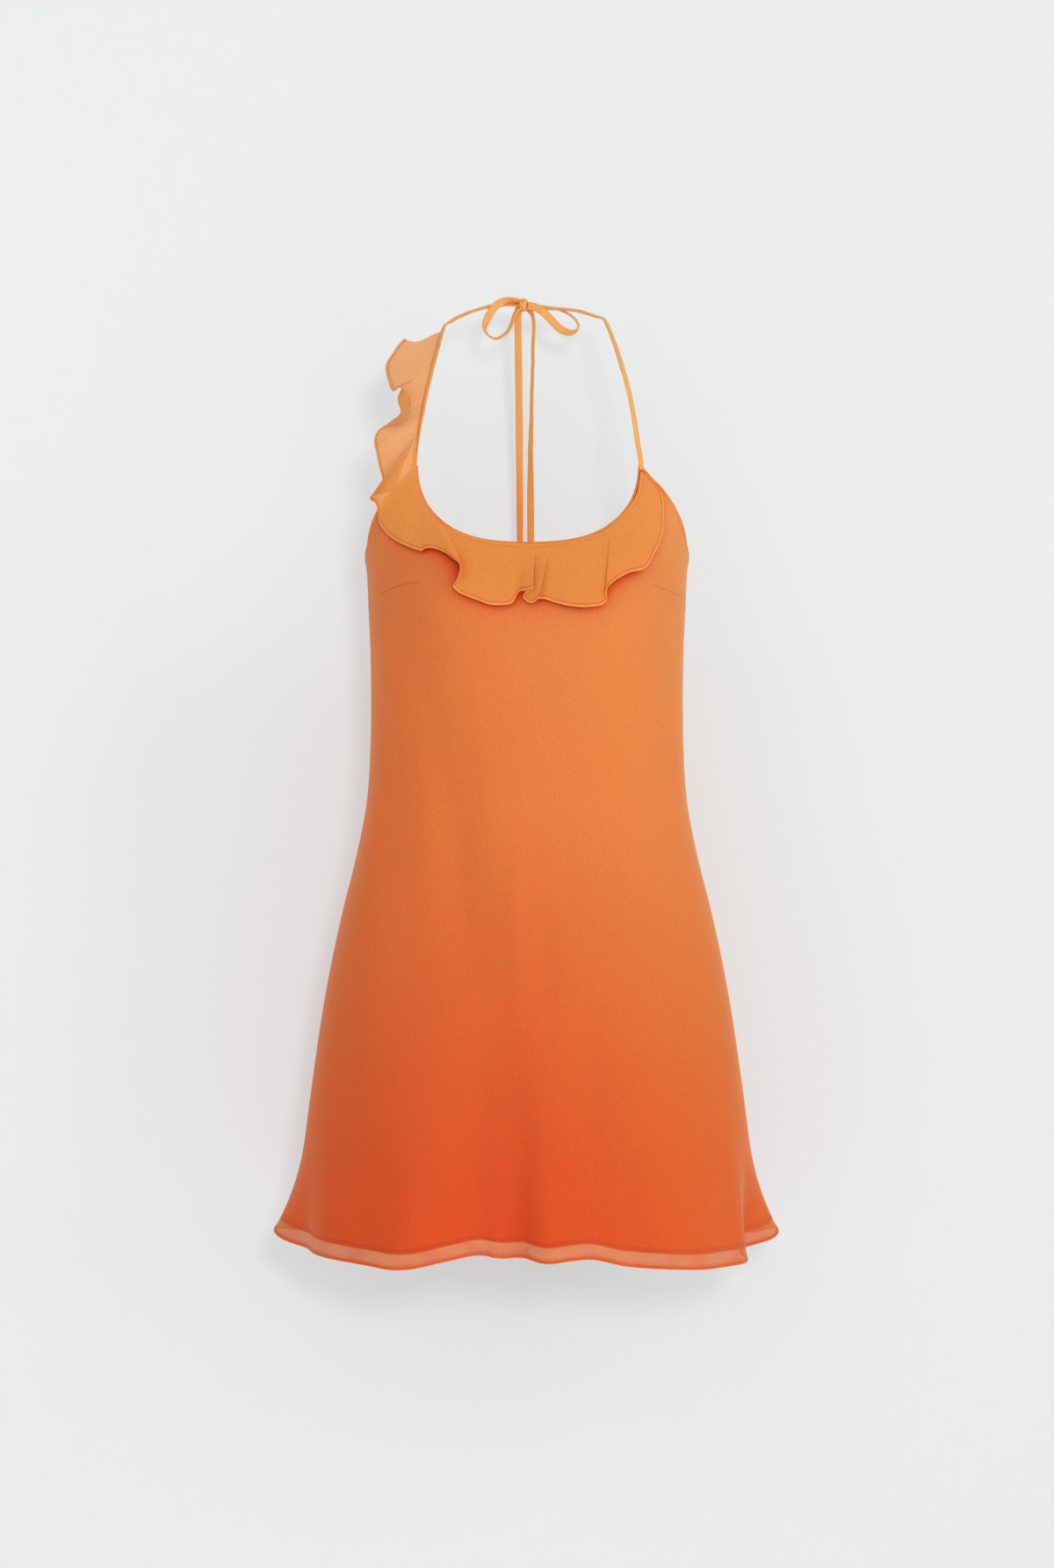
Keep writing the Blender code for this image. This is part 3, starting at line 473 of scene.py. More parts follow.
def georgette(name, lift=(1.0, 1.0, 1.0), dyes=DYE, through_light=0.0, sheer=0.0, bare=None, crinkle=0.16,
              painted_light_lean=False, depth=0.020, painted_shade_tint=(0.80, 0.40, 0.32), painted_shade_range=(0.25, 0.95)):
    """Dyed georgette: colour by height, pebbled crepe surface, light that comes through.

    sheer is the share of open weave. bare is for a panel's edge with no lining behind it: the
    lengths of cloth above the hem where its open look is full and where it ends. Painted shade:
    where other cloth lies within depth, the colour turns towards the given shade tint over the
    given range. With the lean on, painted light makes the colour yellower to the right and
    painted sheen makes it yellower at both sides of the skirt.
    """
    tree, shader, material = new_material(name)
    place = add(tree, "TexCoord").outputs["Object"]
    spot = add(tree, "SeparateXYZ", {0: place}).outputs
    low, high = dyes[-1][0], dyes[0][0]
    stops = []
    for level, colour in reversed(dyes):
        lifted = tuple(min(1.0, shade * more) for shade, more in zip(colour, lift))
        stops.append(((level - low) / (high - low), lifted))
    dye = ramp(tree, remap(tree, spot["Z"], low, high), stops)

    # uneven dye and crepe threads
    pebble = noise(tree, place, PEBBLE, 1.5)
    mottle = maths(tree, "MULTIPLY_ADD", noise(tree, place, CLOUD, 2.0), CLOUD_SHARE, pebble)
    shade = remap(tree, mottle, *MOTTLE)
    # painted shade: the colour turns darker and redder where other cloth lies within depth
    occlusion = add(tree, "AmbientOcclusion", {"Distance": depth}, samples=8).outputs["AO"]
    painted_shade = ramp(tree, occlusion, tuple(zip(painted_shade_range, (painted_shade_tint, WHITE[:3]))))
    dyed = vectors(tree, "MULTIPLY", dye, painted_shade)
    colour = add(tree, "VectorMath", {0: dyed, "Scale": shade}, operation="SCALE").outputs["Vector"]
    if painted_light_lean:
        # painted light: the colour leans to yellow on the right, where the side light falls, and painted
        # sheen yellows both sides of the skirt
        skirt = remap(tree, spot["Z"], SKIRT_SHEEN_FROM, SKIRT_SHEEN_FULL, to_high=SKIRT_PAINTED_SHEEN)
        painted_side_sheen = maths(tree, "MULTIPLY_ADD", maths(tree, "ABSOLUTE", spot["X"]), skirt, 1.0)
        lean = maths(tree, "MULTIPLY_ADD", spot["X"], PAINTED_LIGHT_LEAN, painted_side_sheen)
        both = add(tree, "CombineXYZ", {"X": 1.0, "Y": lean, "Z": lean}).outputs["Vector"]
        colour = vectors(tree, "MULTIPLY", colour, both)
    open_share = sheer
    if bare:
        full_at, none_at = bare
        lengths = add(tree, "UVMap", uv_map="cloth").outputs["UV"]
        above_hem = add(tree, "SeparateXYZ", {0: lengths}).outputs["Y"]
        fade = remap(tree, above_hem, none_at, full_at, interpolation_type="SMOOTHSTEP")
        uneven = remap(tree, noise(tree, place, PATCH, 1.0), *PATCHES)
        single = maths(tree, "MULTIPLY", fade, uneven)
        colour = add(tree, "Mix", {0: single, 6: colour, 7: UNLINED}, data_type="RGBA").outputs[2]
        open_share = maths(tree, "MULTIPLY", fade, sheer)
    threads = add(tree, "TexVoronoi", {"Vector": place, "Scale": THREAD}, feature="F1").outputs["Distance"]
    grain = maths(tree, "MULTIPLY_ADD", threads, THREAD_SHARE, pebble)
    bump = add(tree, "Bump", {"Strength": crinkle, "Distance": 0.0004, "Height": grain}).outputs["Normal"]
    feed(tree, shader, {"Base Color": colour, "Normal": bump, **FINISH})

    shown = shader.outputs["BSDF"]
    if through_light:
        glow = add(tree, "BsdfTranslucent", {"Color": colour}).outputs["BSDF"]
        shown = mix(tree, through_light, shown, glow)
    if sheer:
        shown = mix(tree, open_share, shown, add(tree, "BsdfTransparent").outputs["BSDF"])
    feed(tree, tree.nodes["Material Output"], {"Surface": shown})
    return material


# ---------------------------------------------------------------- shell and lining
SHELL_ROWS = 230
LINING_ROWS = 201  # points down a column
COLUMN_FINENESS = 5
HEM_BAND = 0.0200  # height of the shell's sheer slot above its hem
BARE_HEM = (0.0128, 0.0152)  # the bare look is full below the first height and ends at the second
# Half width and half height of each rolled or folded edge
HEM_ROLL = (0.0015, 0.0006)
LINING_FOLD = (0.0032, 0.0005)
TOP_BIND = (0.0022, 0.0017)
LINING_FOLD_RISE = 0.0030
BIND_DROP, BIND_IN = 0.0012, 0.0011  # the upper roll covers the edges of shell and lining
HEM_STITCH_RISE = 0.0042
DART_STEPS = 40


def front_edges():
    """Angle and height at the top, and angle at the hem, for each fine column of the front."""
    arm = even_along(ARMHOLE, ARMHOLE_STEPS - 1)
    arm = np.vstack([arm, [[figure(UNDERARM, "half_width"), UNDERARM]]])
    scoop = np.vstack([SCOOP[::-1] * (-1, 1), SCOOP[1:]])
    scoop = even_along(scoop, SCOOP_STEPS)
    edge = np.vstack([arm[::-1] * (-1, 1), scoop, arm])
    past = (np.abs(edge[:, 0]) - SHIFT_FADE_FROM) / SHIFT_FADE_LENGTH
    shift = SCOOP_SHIFT * (1 - smooth_step(past))
    angles = front_angle(edge[:, 0] + shift, edge[:, 1])
    angles[0] = -SIDE_SEAM
    angles[-1] = SIDE_SEAM
    arm_hem, scoop_hem = APEX_HEM_ANGLES
    shares = (np.arange(ARMHOLE_STEPS + 1) / ARMHOLE_STEPS) ** HEM_CROWDING
    side = SIDE_SEAM - (SIDE_SEAM - arm_hem) * shares
    middle = np.linspace(-scoop_hem, scoop_hem, SCOOP_STEPS + 1)
    hem_angles = np.concatenate([-side, middle, side[::-1]])
    # the strap's two columns stay corners, so each stretch is refined by itself
    end = len(angles) - 1
    corners = (0, ARMHOLE_STEPS, ARMHOLE_STEPS + 1, end - ARMHOLE_STEPS - 1, end - ARMHOLE_STEPS, end)
    fine = []
    for first, last in zip(corners, corners[1:]):
        at = np.linspace(first, last, (last - first) * COLUMN_FINENESS + 1)
        index = np.arange(first, last + 1)
        rows = [through(index, values[first : last + 1], at) for values in (angles, edge[:, 1])]
        rows.append(through(np.arange(len(hem_angles)), hem_angles, at))
        fine.append(np.stack(rows)[:, (1 if fine else 0) :])
    return np.concatenate(fine, axis=1)


def back_edges():
    turns = np.linspace(-1, 1, BACK_STEPS * COLUMN_FINENESS + 1)
    crowded = np.sign(turns) * (1 - (1 - np.abs(turns)) ** HEM_CROWDING)
    angles = 180.0 + SIDE_SEAM * crowded
    return angles, through(BACK_EDGE[:, 0], BACK_EDGE[:, 1], angles), angles


def panel(top_angles, top_heights, hem_angles):
    """A panel's fine grid of points, from its upper edge down to the hem."""
    even = np.linspace(0, 1, SHELL_ROWS + 1)
    shares = (even + ROW_CROWDING * np.sin(2 * math.pi * even) / (2 * math.pi))[:, None]
    fan = smooth_step(shares / SPREAD_SHARE)
    angles = top_angles + (hem_angles - top_angles) * fan
    level = UNDERARM + (hem_height(hem_angles) - UNDERARM) * shares
    heights = level + (top_heights - UNDERARM) * (1 - smooth_step(shares / LEVEL_SHARE))
    return skin(angles, heights, soft=True)


def cloth_lengths(points):
    """UVs in metres: along the hem's ring, and up from the hem."""
    down = np.zeros(points.shape[:2])
    down[1:] = np.cumsum(np.linalg.norm(np.diff(points, axis=0), axis=2), axis=0)
    across = arc_stations(points[-1])
    return np.stack([np.broadcast_to(across, down.shape), down[-1] - down], axis=-1)


def second_slot(piece, material, below):
    """Faces whose cloth length above the hem is under this take a second material."""
    piece.data.materials.append(material)
    layer = piece.data.uv_layers["cloth"].data
    for face in piece.data.polygons:
        heights = [layer[loop].uv[1] for loop in face.loop_indices]
        face.material_index = 1 if max(heights) < below else 0


# Columns: across, height
DARTS = {
    "left": ((-0.1342, -0.2796), (-0.1211, -0.2751), (-0.1095, -0.2726), (-0.0948, -0.2721)),
    "right": ((0.1160, -0.2738), (0.1253, -0.2764), (0.1348, -0.2794), (0.1427, -0.2814)),
}


def build_dart(side, material):
    """The line of a bust dart: a fine row of threads in a shallow valley of the front."""
    line = even_along(DARTS[side], DART_STEPS)
    path = skin(front_angle(line[:, 0], line[:, 1]), line[:, 1], soft=True)
    normal = unit(path * (1, 1, 0) + (0, NAPE_BACK, 0))
    return stitches(f"dart_stitches_{side}", path, normal, "dart", material)


def lining_sheet(points):
    """The shell's grid moved in, lowered at the top and cut short above the hem."""
    inner = points - LINING_INSET * outward(points)
    above_hem = cloth_lengths(points)[..., 1]
    columns = []
    for col, up in enumerate(above_hem.T):
        at = np.linspace(up[0] - LINING_DROP, LINING_SHORT, LINING_ROWS)
        columns.append(np.stack([np.interp(-at, -up, inner[:, col, k]) for k in range(3)], axis=-1))
    return np.stack(columns, axis=1)


def build_panels(materials):
    """Each side's shell and lining, then its details: hem roll, lining hem, upper roll, stitches."""
    panels = {}
    for side, edges in (("front", front_edges()), ("back", back_edges())):
        points = panel(*edges)
        normal = outward(points)
        shell = grid_object(f"shell_{side}", points, cloth_lengths(points), materials["shell"])
        second_slot(shell, materials["hem"], HEM_BAND)
        inner = lining_sheet(points)
        lining = grid_object(f"lining_{side}", inner, cloth_lengths(inner), materials["lining"])
        up = unit(points[-4] - points[-1])
        edge = points[-1] + up * HEM_ROLL[0]
        hem = bead(f"hem_roll_{side}", edge, up, normal[-1], *HEM_ROLL, materials["roll"])
        inner_up = unit(inner[-4] - inner[-1])
        fold = bead(f"lining_hem_{side}", inner[-1] + inner_up * LINING_FOLD_RISE, inner_up,
                    outward(inner)[-1], *LINING_FOLD, materials["lining"])
        down = unit(points[2] - points[0])
        edge = points[0] + down * BIND_DROP - normal[0] * BIND_IN
        bind = bead(f"top_roll_{side}", edge, down, normal[0], *TOP_BIND, materials["roll_top"])
        row = points[-1] + up * HEM_STITCH_RISE
        thread = stitches(f"hem_stitches_{side}", row, normal[-1], "hem", materials["thread"])
        panels[side] = (shell, lining, hem, fold, bind, thread)
    return panels


# ---------------------------------------------------------------- flounce
# The sewn edge. Columns: across, height, stand_off from the shell
ROOT = metres("111", (
    (-81.2, -35.8, 0), (-83.6, -45.9, 0), (-86.1, -56.6, 0), (-88.8, -68.1, 0), (-91.5, -80.2, 0),
    (-94.1, -93, 0), (-96.2, -105.7, 0.4), (-98.1, -117.5, 1.2), (-99.9, -129.9, 1.9), (-101.2, -143.1, 2.3),
    (-101.6, -155.3, 2.3), (-100.7, -165.9, 2.3), (-99.4, -175.7, 2.3), (-96.9, -185.8, 1.9),
    (-93.2, -195.5, 1.7), (-88.8, -203.7, 1.7), (-80.9, -213.9, 1.7), (-71.7, -221.5, 1.7),
    (-62.1, -226.5, 1.7), (-50.2, -231, 1.7), (-35.1, -234.6, 1.7), (-18.6, -236.8, 1.7), (0, -237.7, 1.7),
    (21.7, -237.4, 1.7), (34.4, -235.7, 1.7), (43.8, -234.5, 1.7), (54.9, -231, 1.7), (66.1, -227.5, 1.7),
    (82.2, -213.9, 1.7), (94.2, -200.4, 1.7), (99.8, -189.9, 1.8), (102.1, -178, 1.9), (103, -170.7, 2),
))
# The free edge with its turned folds. Columns: share along the sewn edge, across, height, stand_off
WAVES = metres("0111", (
    (0, -113.5, -43.4, 9), (0.022, -118.5, -49.4, 10), (0.041, -123.8, -57.9, 10), (0.055, -127.5, -63.9, 10),
    (0.068, -129.7, -70, 11), (0.084, -129.1, -77.9, 13), (0.089, -126.7, -86.2, 15),
    (0.094, -123.7, -94.5, 16), (0.098, -121.8, -96.2, 16.5), (0.104, -119.1, -93.5, 17),
    (0.111, -115.6, -93, 18), (0.117, -111.8, -95.5, 19), (0.124, -108.5, -99.2, 20),
    (0.131, -105.6, -103.8, 21), (0.138, -104.6, -108.7, 20.5), (0.144, -104.6, -114, 19.5),
    (0.149, -105.6, -118.1, 18), (0.156, -110.5, -122.8, 16), (0.162, -118.1, -126.1, 13),
    (0.169, -125.1, -127.4, 10), (0.174, -130.9, -128.7, 8), (0.18, -135.7, -131.6, 7),
    (0.185, -138.7, -136.3, 7), (0.193, -139.5, -141.6, 7.5), (0.202, -137.9, -150, 9),
    (0.212, -135.6, -160.9, 7), (0.222, -132.8, -172, 5), (0.232, -128.8, -181.6, 5.6),
    (0.236, -123.3, -182.8, 4), (0.24, -120.8, -186.2, 5), (0.244, -125.6, -188.7, 8.5),
    (0.248, -135.4, -191, 11.5), (0.252, -143.2, -193.6, 12.5), (0.257, -142.4, -195.9, 12.8),
    (0.262, -141.1, -196.4, 13.8), (0.269, -137.8, -199.2, 14.6), (0.277, -136.1, -205.3, 13.5),
    (0.284, -136, -211.9, 11), (0.291, -134, -217.4, 10), (0.308, -127.1, -226.8, 9),
    (0.329, -115.6, -235.5, 8), (0.35, -104.7, -240.7, 6), (0.366, -98.8, -242.8, 5.6),
    (0.376, -95.4, -243.8, 5), (0.385, -92.4, -241.9, 5.5), (0.396, -86.5, -241.6, 6.4),
    (0.41, -78.5, -244, 8), (0.424, -71.2, -248, 10.5), (0.439, -65.4, -252.7, 14.5),
    (0.453, -61.1, -256.4, 17), (0.467, -58.8, -260.4, 17.5), (0.473, -58.9, -265, 15.5),
    (0.478, -60.8, -269.1, 13.5), (0.482, -63.7, -273.1, 11), (0.487, -66.3, -277.4, 9),
    (0.498, -63, -281.1, 7.5), (0.516, -53.6, -285.9, 6), (0.537, -43.7, -289.5, 5.5),
    (0.556, -34.2, -293.1, 6), (0.577, -24.8, -293.8, 6), (0.6, -12.7, -291.4, 6), (0.623, -10.2, -287.1, 5),
    (0.647, -6.7, -281.5, 4), (0.664, -1.5, -281.2, 9), (0.68, 5.5, -279.6, 12.5), (0.684, 2.8, -281.9, 10.5),
    (0.687, -2, -284.1, 8.5), (0.69, -3.5, -286.4, 7), (0.696, 0, -290.8, 8.5), (0.703, 4.2, -292.3, 10.5),
    (0.709, 8.6, -289.5, 12), (0.715, 10.9, -285.5, 11.5), (0.718, 8.3, -286.5, 8.5), (0.722, 5.9, -287.5, 6),
    (0.728, 9.9, -288.1, 4.5), (0.735, 15.8, -288.1, 4.5), (0.746, 20.1, -289.6, 4), (0.765, 31.5, -293.1, 5),
    (0.789, 43.7, -295.2, 6), (0.815, 57.9, -295.2, 7), (0.838, 67.8, -293.2, 9), (0.85, 71.5, -290.2, 9.5),
    (0.855, 70.3, -283.4, 10.5), (0.861, 72.4, -278.4, 11.5), (0.872, 77.5, -272.8, 12.5),
    (0.883, 84.7, -268.1, 13), (0.891, 92.7, -263.9, 12), (0.898, 100.5, -262, 11),
    (0.904, 106.9, -259.4, 10), (0.908, 111.2, -253.9, 11), (0.912, 114.7, -246.7, 10.5),
    (0.915, 117.7, -241.3, 10), (0.924, 120.8, -233.7, 8), (0.934, 123.5, -225.1, 6.5),
    (0.945, 124.2, -213.9, 5), (0.959, 124.4, -201.1, 4.4), (0.972, 122.5, -190.1, 4),
    (0.983, 118.8, -184.6, 3.6), (0.992, 113.2, -177.6, 3.2), (1, 107.3, -172, 2.8),
))
# Bulges between the two edges. Columns: share along, spread, across, height, stand_off
BELLIES = metres("00111", (
    (0, 0.03, 0, -5.5, 0), (0.138, 0.024, -17.6, 0, -7), (0.488, 0.013, 7.6, 0, 1),
))
WAVE_GROWTH = 1.10  # power by which the stand-off grows outwards
ROOT_OVER = 0.0010  # how far the flounce's seam lies over the left strap's edge
OVER_UNTIL, OVER_FADE = 0.30, 0.10  # shares along the sewn edge
BELLY_LOW = 1.5  # a belly's widest place is below the middle
RUFFLE_STEPS = 1000
RUFFLE_ROWS = 44
SOFT_FACING = (0.0, -0.995, 0.1)  # where thin cloth's scattered light seems to come from
SOFT_SHARE = 0.5
ROLL_HALF = 0.0012  # half width of the flounce's rolled hem
ROLL_HALF_HEIGHT = 0.0004
RUFFLE_STITCH_RISE = 0.0031
NECK_STITCH_DROP = 0.0036
NECK_STITCH_FROM = 0.40  # the stitches along the seam show on the scoop alone


def ruffle_points():
    """The flounce's grid, from its sewn edge out to its waved free edge."""
    root_stations = arc_stations(ROOT[:, :2])
    root_stations = root_stations / root_stations[-1]
    wave_stations = arc_stations(WAVES[:, 1:])
    at = np.linspace(0, wave_stations[-1], RUFFLE_STEPS + 1)
    along, *edge = (through(wave_stations, values, at) for values in WAVES.T)
    root = [through(root_stations, values, along) for values in ROOT.T]
    root[0] = root[0] + ROOT_OVER * (1 - smooth_step((along - OVER_UNTIL) / OVER_FADE))
    out = np.linspace(0, 1, RUFFLE_ROWS + 1)[:, None]
    across = root[0] + (edge[0] - root[0]) * out
    height = root[1] + (edge[1] - root[1]) * out
    stand = root[2] + (edge[2] - root[2]) * out**WAVE_GROWTH
    for centre, spread, shift, rise, lean in BELLIES:
        bulge = np.exp(-(((along - centre) / spread) ** 2)) * np.sin(math.pi * out**BELLY_LOW)
        across = across + shift * bulge
        height = height + rise * bulge
        stand = stand + lean * bulge
    depth = front_depth(across, height) - stand
    return np.stack([across, depth, height], axis=-1)


def build_ruffle(materials):
    """The flounce, then its details: rolled hem, hem stitches, seam stitches."""
    points = ruffle_points()
    normal = outward(points)
    ruffle = grid_object("neck_ruffle", points, cloth_lengths(points), materials["ruffle"])
    # thin cloth scatters light, so its shading follows its own turns only in part
    facing = np.sign(normal @ SOFT_FACING)[..., None] * np.array(SOFT_FACING)
    soft = unit(normal * (1 - SOFT_SHARE) + facing * SOFT_SHARE)
    ruffle.data.normals_split_custom_set_from_vertices(soft.reshape(-1, 3).tolist())
    inwards = unit(points[-4] - points[-1])
    edge = normal[-1]
    roll = bead("ruffle_roll", points[-1] + inwards * ROLL_HALF, inwards, edge, ROLL_HALF, ROLL_HALF_HEIGHT,
                materials["ruffle_roll"], sides=8)
    row = points[-1] + inwards * RUFFLE_STITCH_RISE
    thread = stitches("ruffle_stitches", row, edge, "ruffle", materials["thread"])
    start = round(RUFFLE_STEPS * NECK_STITCH_FROM)
    row = points[0] + unit(points[3] - points[0]) * NECK_STITCH_DROP
    seam = stitches("neck_stitches", row[start:], normal[1, start:], "neck", materials["thread"])
    return ruffle, roll, thread, seam


# ---------------------------------------------------------------- straps and bow
# The ties' routes. Columns: across, depth behind the side seams, height, turn in degrees
STRAP_LEFT = metres("1110", (
    (-102.3, -88.8, -165.5, -44), (-101.8, -86.8, -155, -44), (-100.4, -84, -144.4, -44),
    (-97.2, -79, -123.9, -44), (-93.4, -71.5, -103.1, -46), (-90.1, -65, -87.9, -47),
    (-85.6, -53, -66.3, -49), (-81.4, -39, -48.4, -52), (-78.3, -25, -34.4, -56), (-76.5, -8, -27.2, -62),
    (-73.1, 6, -22.9, -58), (-63.9, 19, -15.4, -52), (-54.7, 29, -9.8, -56), (-45.2, 36, -5.8, -60),
    (-35.3, 41.2, -2.6, -56), (-22.9, 45.5, -0.1, -52), (-16.2, 47, 0.3, -50), (-8.8, 47.8, 0.3, -50),
    (-4.5, 48.4, 0.3, -50),
))
STRAP_RIGHT = metres("1110", (
    (104.4, -90.2, -169.2, 46), (103.9, -89.1, -165.1, 46), (102.8, -87.6, -156.7, 46),
    (100.8, -84.6, -145.2, 46), (98.6, -80, -127.2, 46), (95.4, -73, -107.2, 48), (91.2, -64.8, -87, 49),
    (85.9, -53, -66.3, 50), (79.8, -36.5, -44.8, 52), (74.8, -17, -28, 56), (71.3, 0, -20.1, 60),
    (62.3, 19, -14, 58), (50.9, 32, -8.6, 60), (41.1, 38.5, -6.1, 62), (30.3, 43.5, -4.4, 62),
    (22.9, 46, -3.6, 58), (14.6, 48.8, -2.3, 50), (7.9, 50, -0.9, 44), (1.8, 50.4, 0.3, 40),
))
LOOP_LEFT = metres("1110", (
    (-5, 46.2, 2.6, -64), (-10.1, 44, 3.7, -64), (-16.2, 41.5, 3.9, -60), (-22.4, 39.5, 2.2, -36),
    (-28.6, 37.5, -1.7, -14), (-33.1, 36.8, -7.1, -10), (-37.2, 37, -14.2, -20), (-39.7, 37.8, -20.8, -52),
    (-39.8, 38.5, -24.3, -66), (-38.3, 39.5, -27.8, -76), (-35.3, 40.5, -31, -78), (-30.2, 41.8, -32.9, -71),
    (-23.7, 43.2, -30.4, -69), (-18.9, 43.8, -26.6, -66), (-15, 44, -19.4, -65), (-12.7, 44, -12.4, -64),
    (-10.1, 44, -6.8, -60), (-6, 46.2, -2.6, -60),
))
LOOP_RIGHT = metres("1110", (
    (0.8, 45.6, -1, 8), (7.8, 43.6, -2.9, 4), (14.5, 42, -7.1, 0), (20.7, 42, -12.7, 0),
    (26.2, 42.4, -18.5, 4), (32.4, 43.2, -24, 14), (38.5, 44.4, -26.5, 40), (43.3, 45.6, -26.4, 64),
    (47, 47, -24, 80), (48.6, 48.8, -20, 76), (47.2, 50.8, -15.2, 73), (43.4, 52.8, -10.8, 72),
    (39.2, 54.4, -7.4, 72), (33, 56.2, -4, 72), (22.9, 57.6, -1.3, 72), (11.3, 58.4, 0.5, 72),
    (3, 54.5, 0.6, 66), (-2, 51, 0.4, 60),
))
TAIL_LEFT = metres("1110", (
    (-7, 47, -2, 2), (-8.4, 50, -6.1, 2), (-8.5, 51.2, -13.5, 0), (-8.4, 57, -30.2, 0), (-8, 68, -58.1, 0),
    (-7.5, 85, -98.1, 0), (-7.2, 98, -139, 0), (-6.8, 108, -197.4, 24), (-6.8, 109.5, -270, 20),
    (-7.8, 109, -340, 6), (-9, 107.5, -400, 14), (-9.6, 106, -440, 20),
))
TAIL_RIGHT = metres("1110", (
    (1.9, 49.8, -4, 42), (4.8, 50.8, -8.8, 62), (6.3, 52.2, -16.7, 68), (5.9, 59, -34.1, 68),
    (5.3, 68, -58.1, 67), (4.3, 85, -98.1, 64), (3.5, 98, -139, 44), (3.6, 108, -197.4, 12),
    (3.8, 109.5, -270, 14), (4.4, 108.5, -330, 20), (5.6, 107.5, -375, 8), (6.6, 106.5, -418, 0),
))
KNOT_CENTRE = (-0.0036, 0.0485, 0.0000)
KNOT_RADII = (0.0045, 0.0040, 0.0063)
# Columns: name, route, width
TAPES = (
    ("strap_left", STRAP_LEFT, 0.0060),
    ("strap_right", STRAP_RIGHT, 0.0060),
    ("bow_loop_left", LOOP_LEFT, 0.0076),
    ("bow_loop_right", LOOP_RIGHT, 0.0076),
    ("tail_left", TAIL_LEFT, 0.0069),
    ("tail_right", TAIL_RIGHT, 0.0069),
)
TAPE_STEP = 0.0008
TAPE_HALF = 0.0009  # half the thickness of the folded tape
# Slight waves along a tape. Columns: size, wavelength over a turn, start
TAPE_WAVES = ((0.00012, 0.0083, 1), (0.00008, 0.0031, 2))
TAPE_SWELL, TAPE_SWELL_LENGTH = 0.025, 0.011
KNOT_SQUARENESS = 2.8
KNOT_RIDGE, KNOT_RIDGE_TURNS, KNOT_TWIST = 0.045, 5.0, 1.2


def tape(name, route, width, material):
    """A folded tape along its route, with soft edges and slight waves."""
    stations = arc_stations(route[:, :3])
    at = np.linspace(0, stations[-1], round(stations[-1] / TAPE_STEP) + 1)
    across, depth, height, turn = (through(stations, values, at) for values in route.T)
    centre = np.stack([across, depth - NAPE_BACK, height], axis=-1)
    along = unit(np.gradient(centre, at, axis=0))
    front = np.array([0.0, -1.0, 0.0])
    flat = unit(front - along * (along @ front)[:, None])
    side = np.cross(along, flat)
    turn = np.radians(turn)[:, None]
    edge = side * np.cos(turn) - flat * np.sin(turn)
    face = np.cross(edge, along)
    phase = len(name)
    wave = sum(size * np.sin(at / length + start * phase) for size, length, start in TAPE_WAVES)
    half = width / 2 * (1 + TAPE_SWELL * np.sin(at / TAPE_SWELL_LENGTH + phase))
    return bead(name, centre + face * wave[:, None], edge, face, half, TAPE_HALF, material,
                sides=16, squareness=3.2)


def build_knot(material):
    """The wrapped band of the knot, gathered in soft ridges."""
    mesh = bpy.data.meshes.new("bow_knot")
    ball = bmesh.new()
    bmesh.ops.create_uvsphere(ball, u_segments=72, v_segments=48, radius=1.0)
    for vert in ball.verts:
        x, y, z = vert.co
        square = sum(abs(part) ** KNOT_SQUARENESS for part in (x, y, z)) ** (-1 / KNOT_SQUARENESS)
        twist = KNOT_TWIST * math.sin(math.atan2(y, x))
        ridge = 1 + KNOT_RIDGE * math.sin(KNOT_RIDGE_TURNS * z + twist) * (1 - z * z)
        vert.co = Vector((x, y, z)) * square * ridge
    bmesh.ops.scale(ball, vec=KNOT_RADII, verts=ball.verts)
    ball.to_mesh(mesh)
    ball.free()
    mesh.materials.append(material)
    mesh.shade_smooth()
    mesh.transform(Matrix.Translation(Vector(KNOT_CENTRE) - Vector((0.0, NAPE_BACK, 0.0))))
    return linked("bow_knot", mesh)


# ---------------------------------------------------------------- stage
WALL_Y = 0.122
WALL_HALF, WALL_LOW, WALL_HIGH = 1.7, -1.42, 1.3
WALL_GREYS = ((0.477, 0.485, 0.486), (0.393, 0.401, 0.403))  # left and right, to even out the side light
WALL_EVENED = 0.7  # half the width over which the greys change
WALL_COOL = (0.91, 1.005, 1.015, 1.0)
COOL_SHAPE, COOL_SHIFT = (1.0, 0.0, 0.60), (0.0, 0.0, 0.33)  # a tall oval round the dress
COOL_FROM, COOL_FULL = 0.50, 0.14
WALL_GLOW = 0.41
FLOOR_REACH = 9.0
FLOOR_GREY = (0.84, 0.84, 0.84, 1.0)
FLOOR_GLOW = 0.42
MATT = {"Roughness": 0.9, "Specular IOR Level": 0.0, "Emission Color": WHITE}


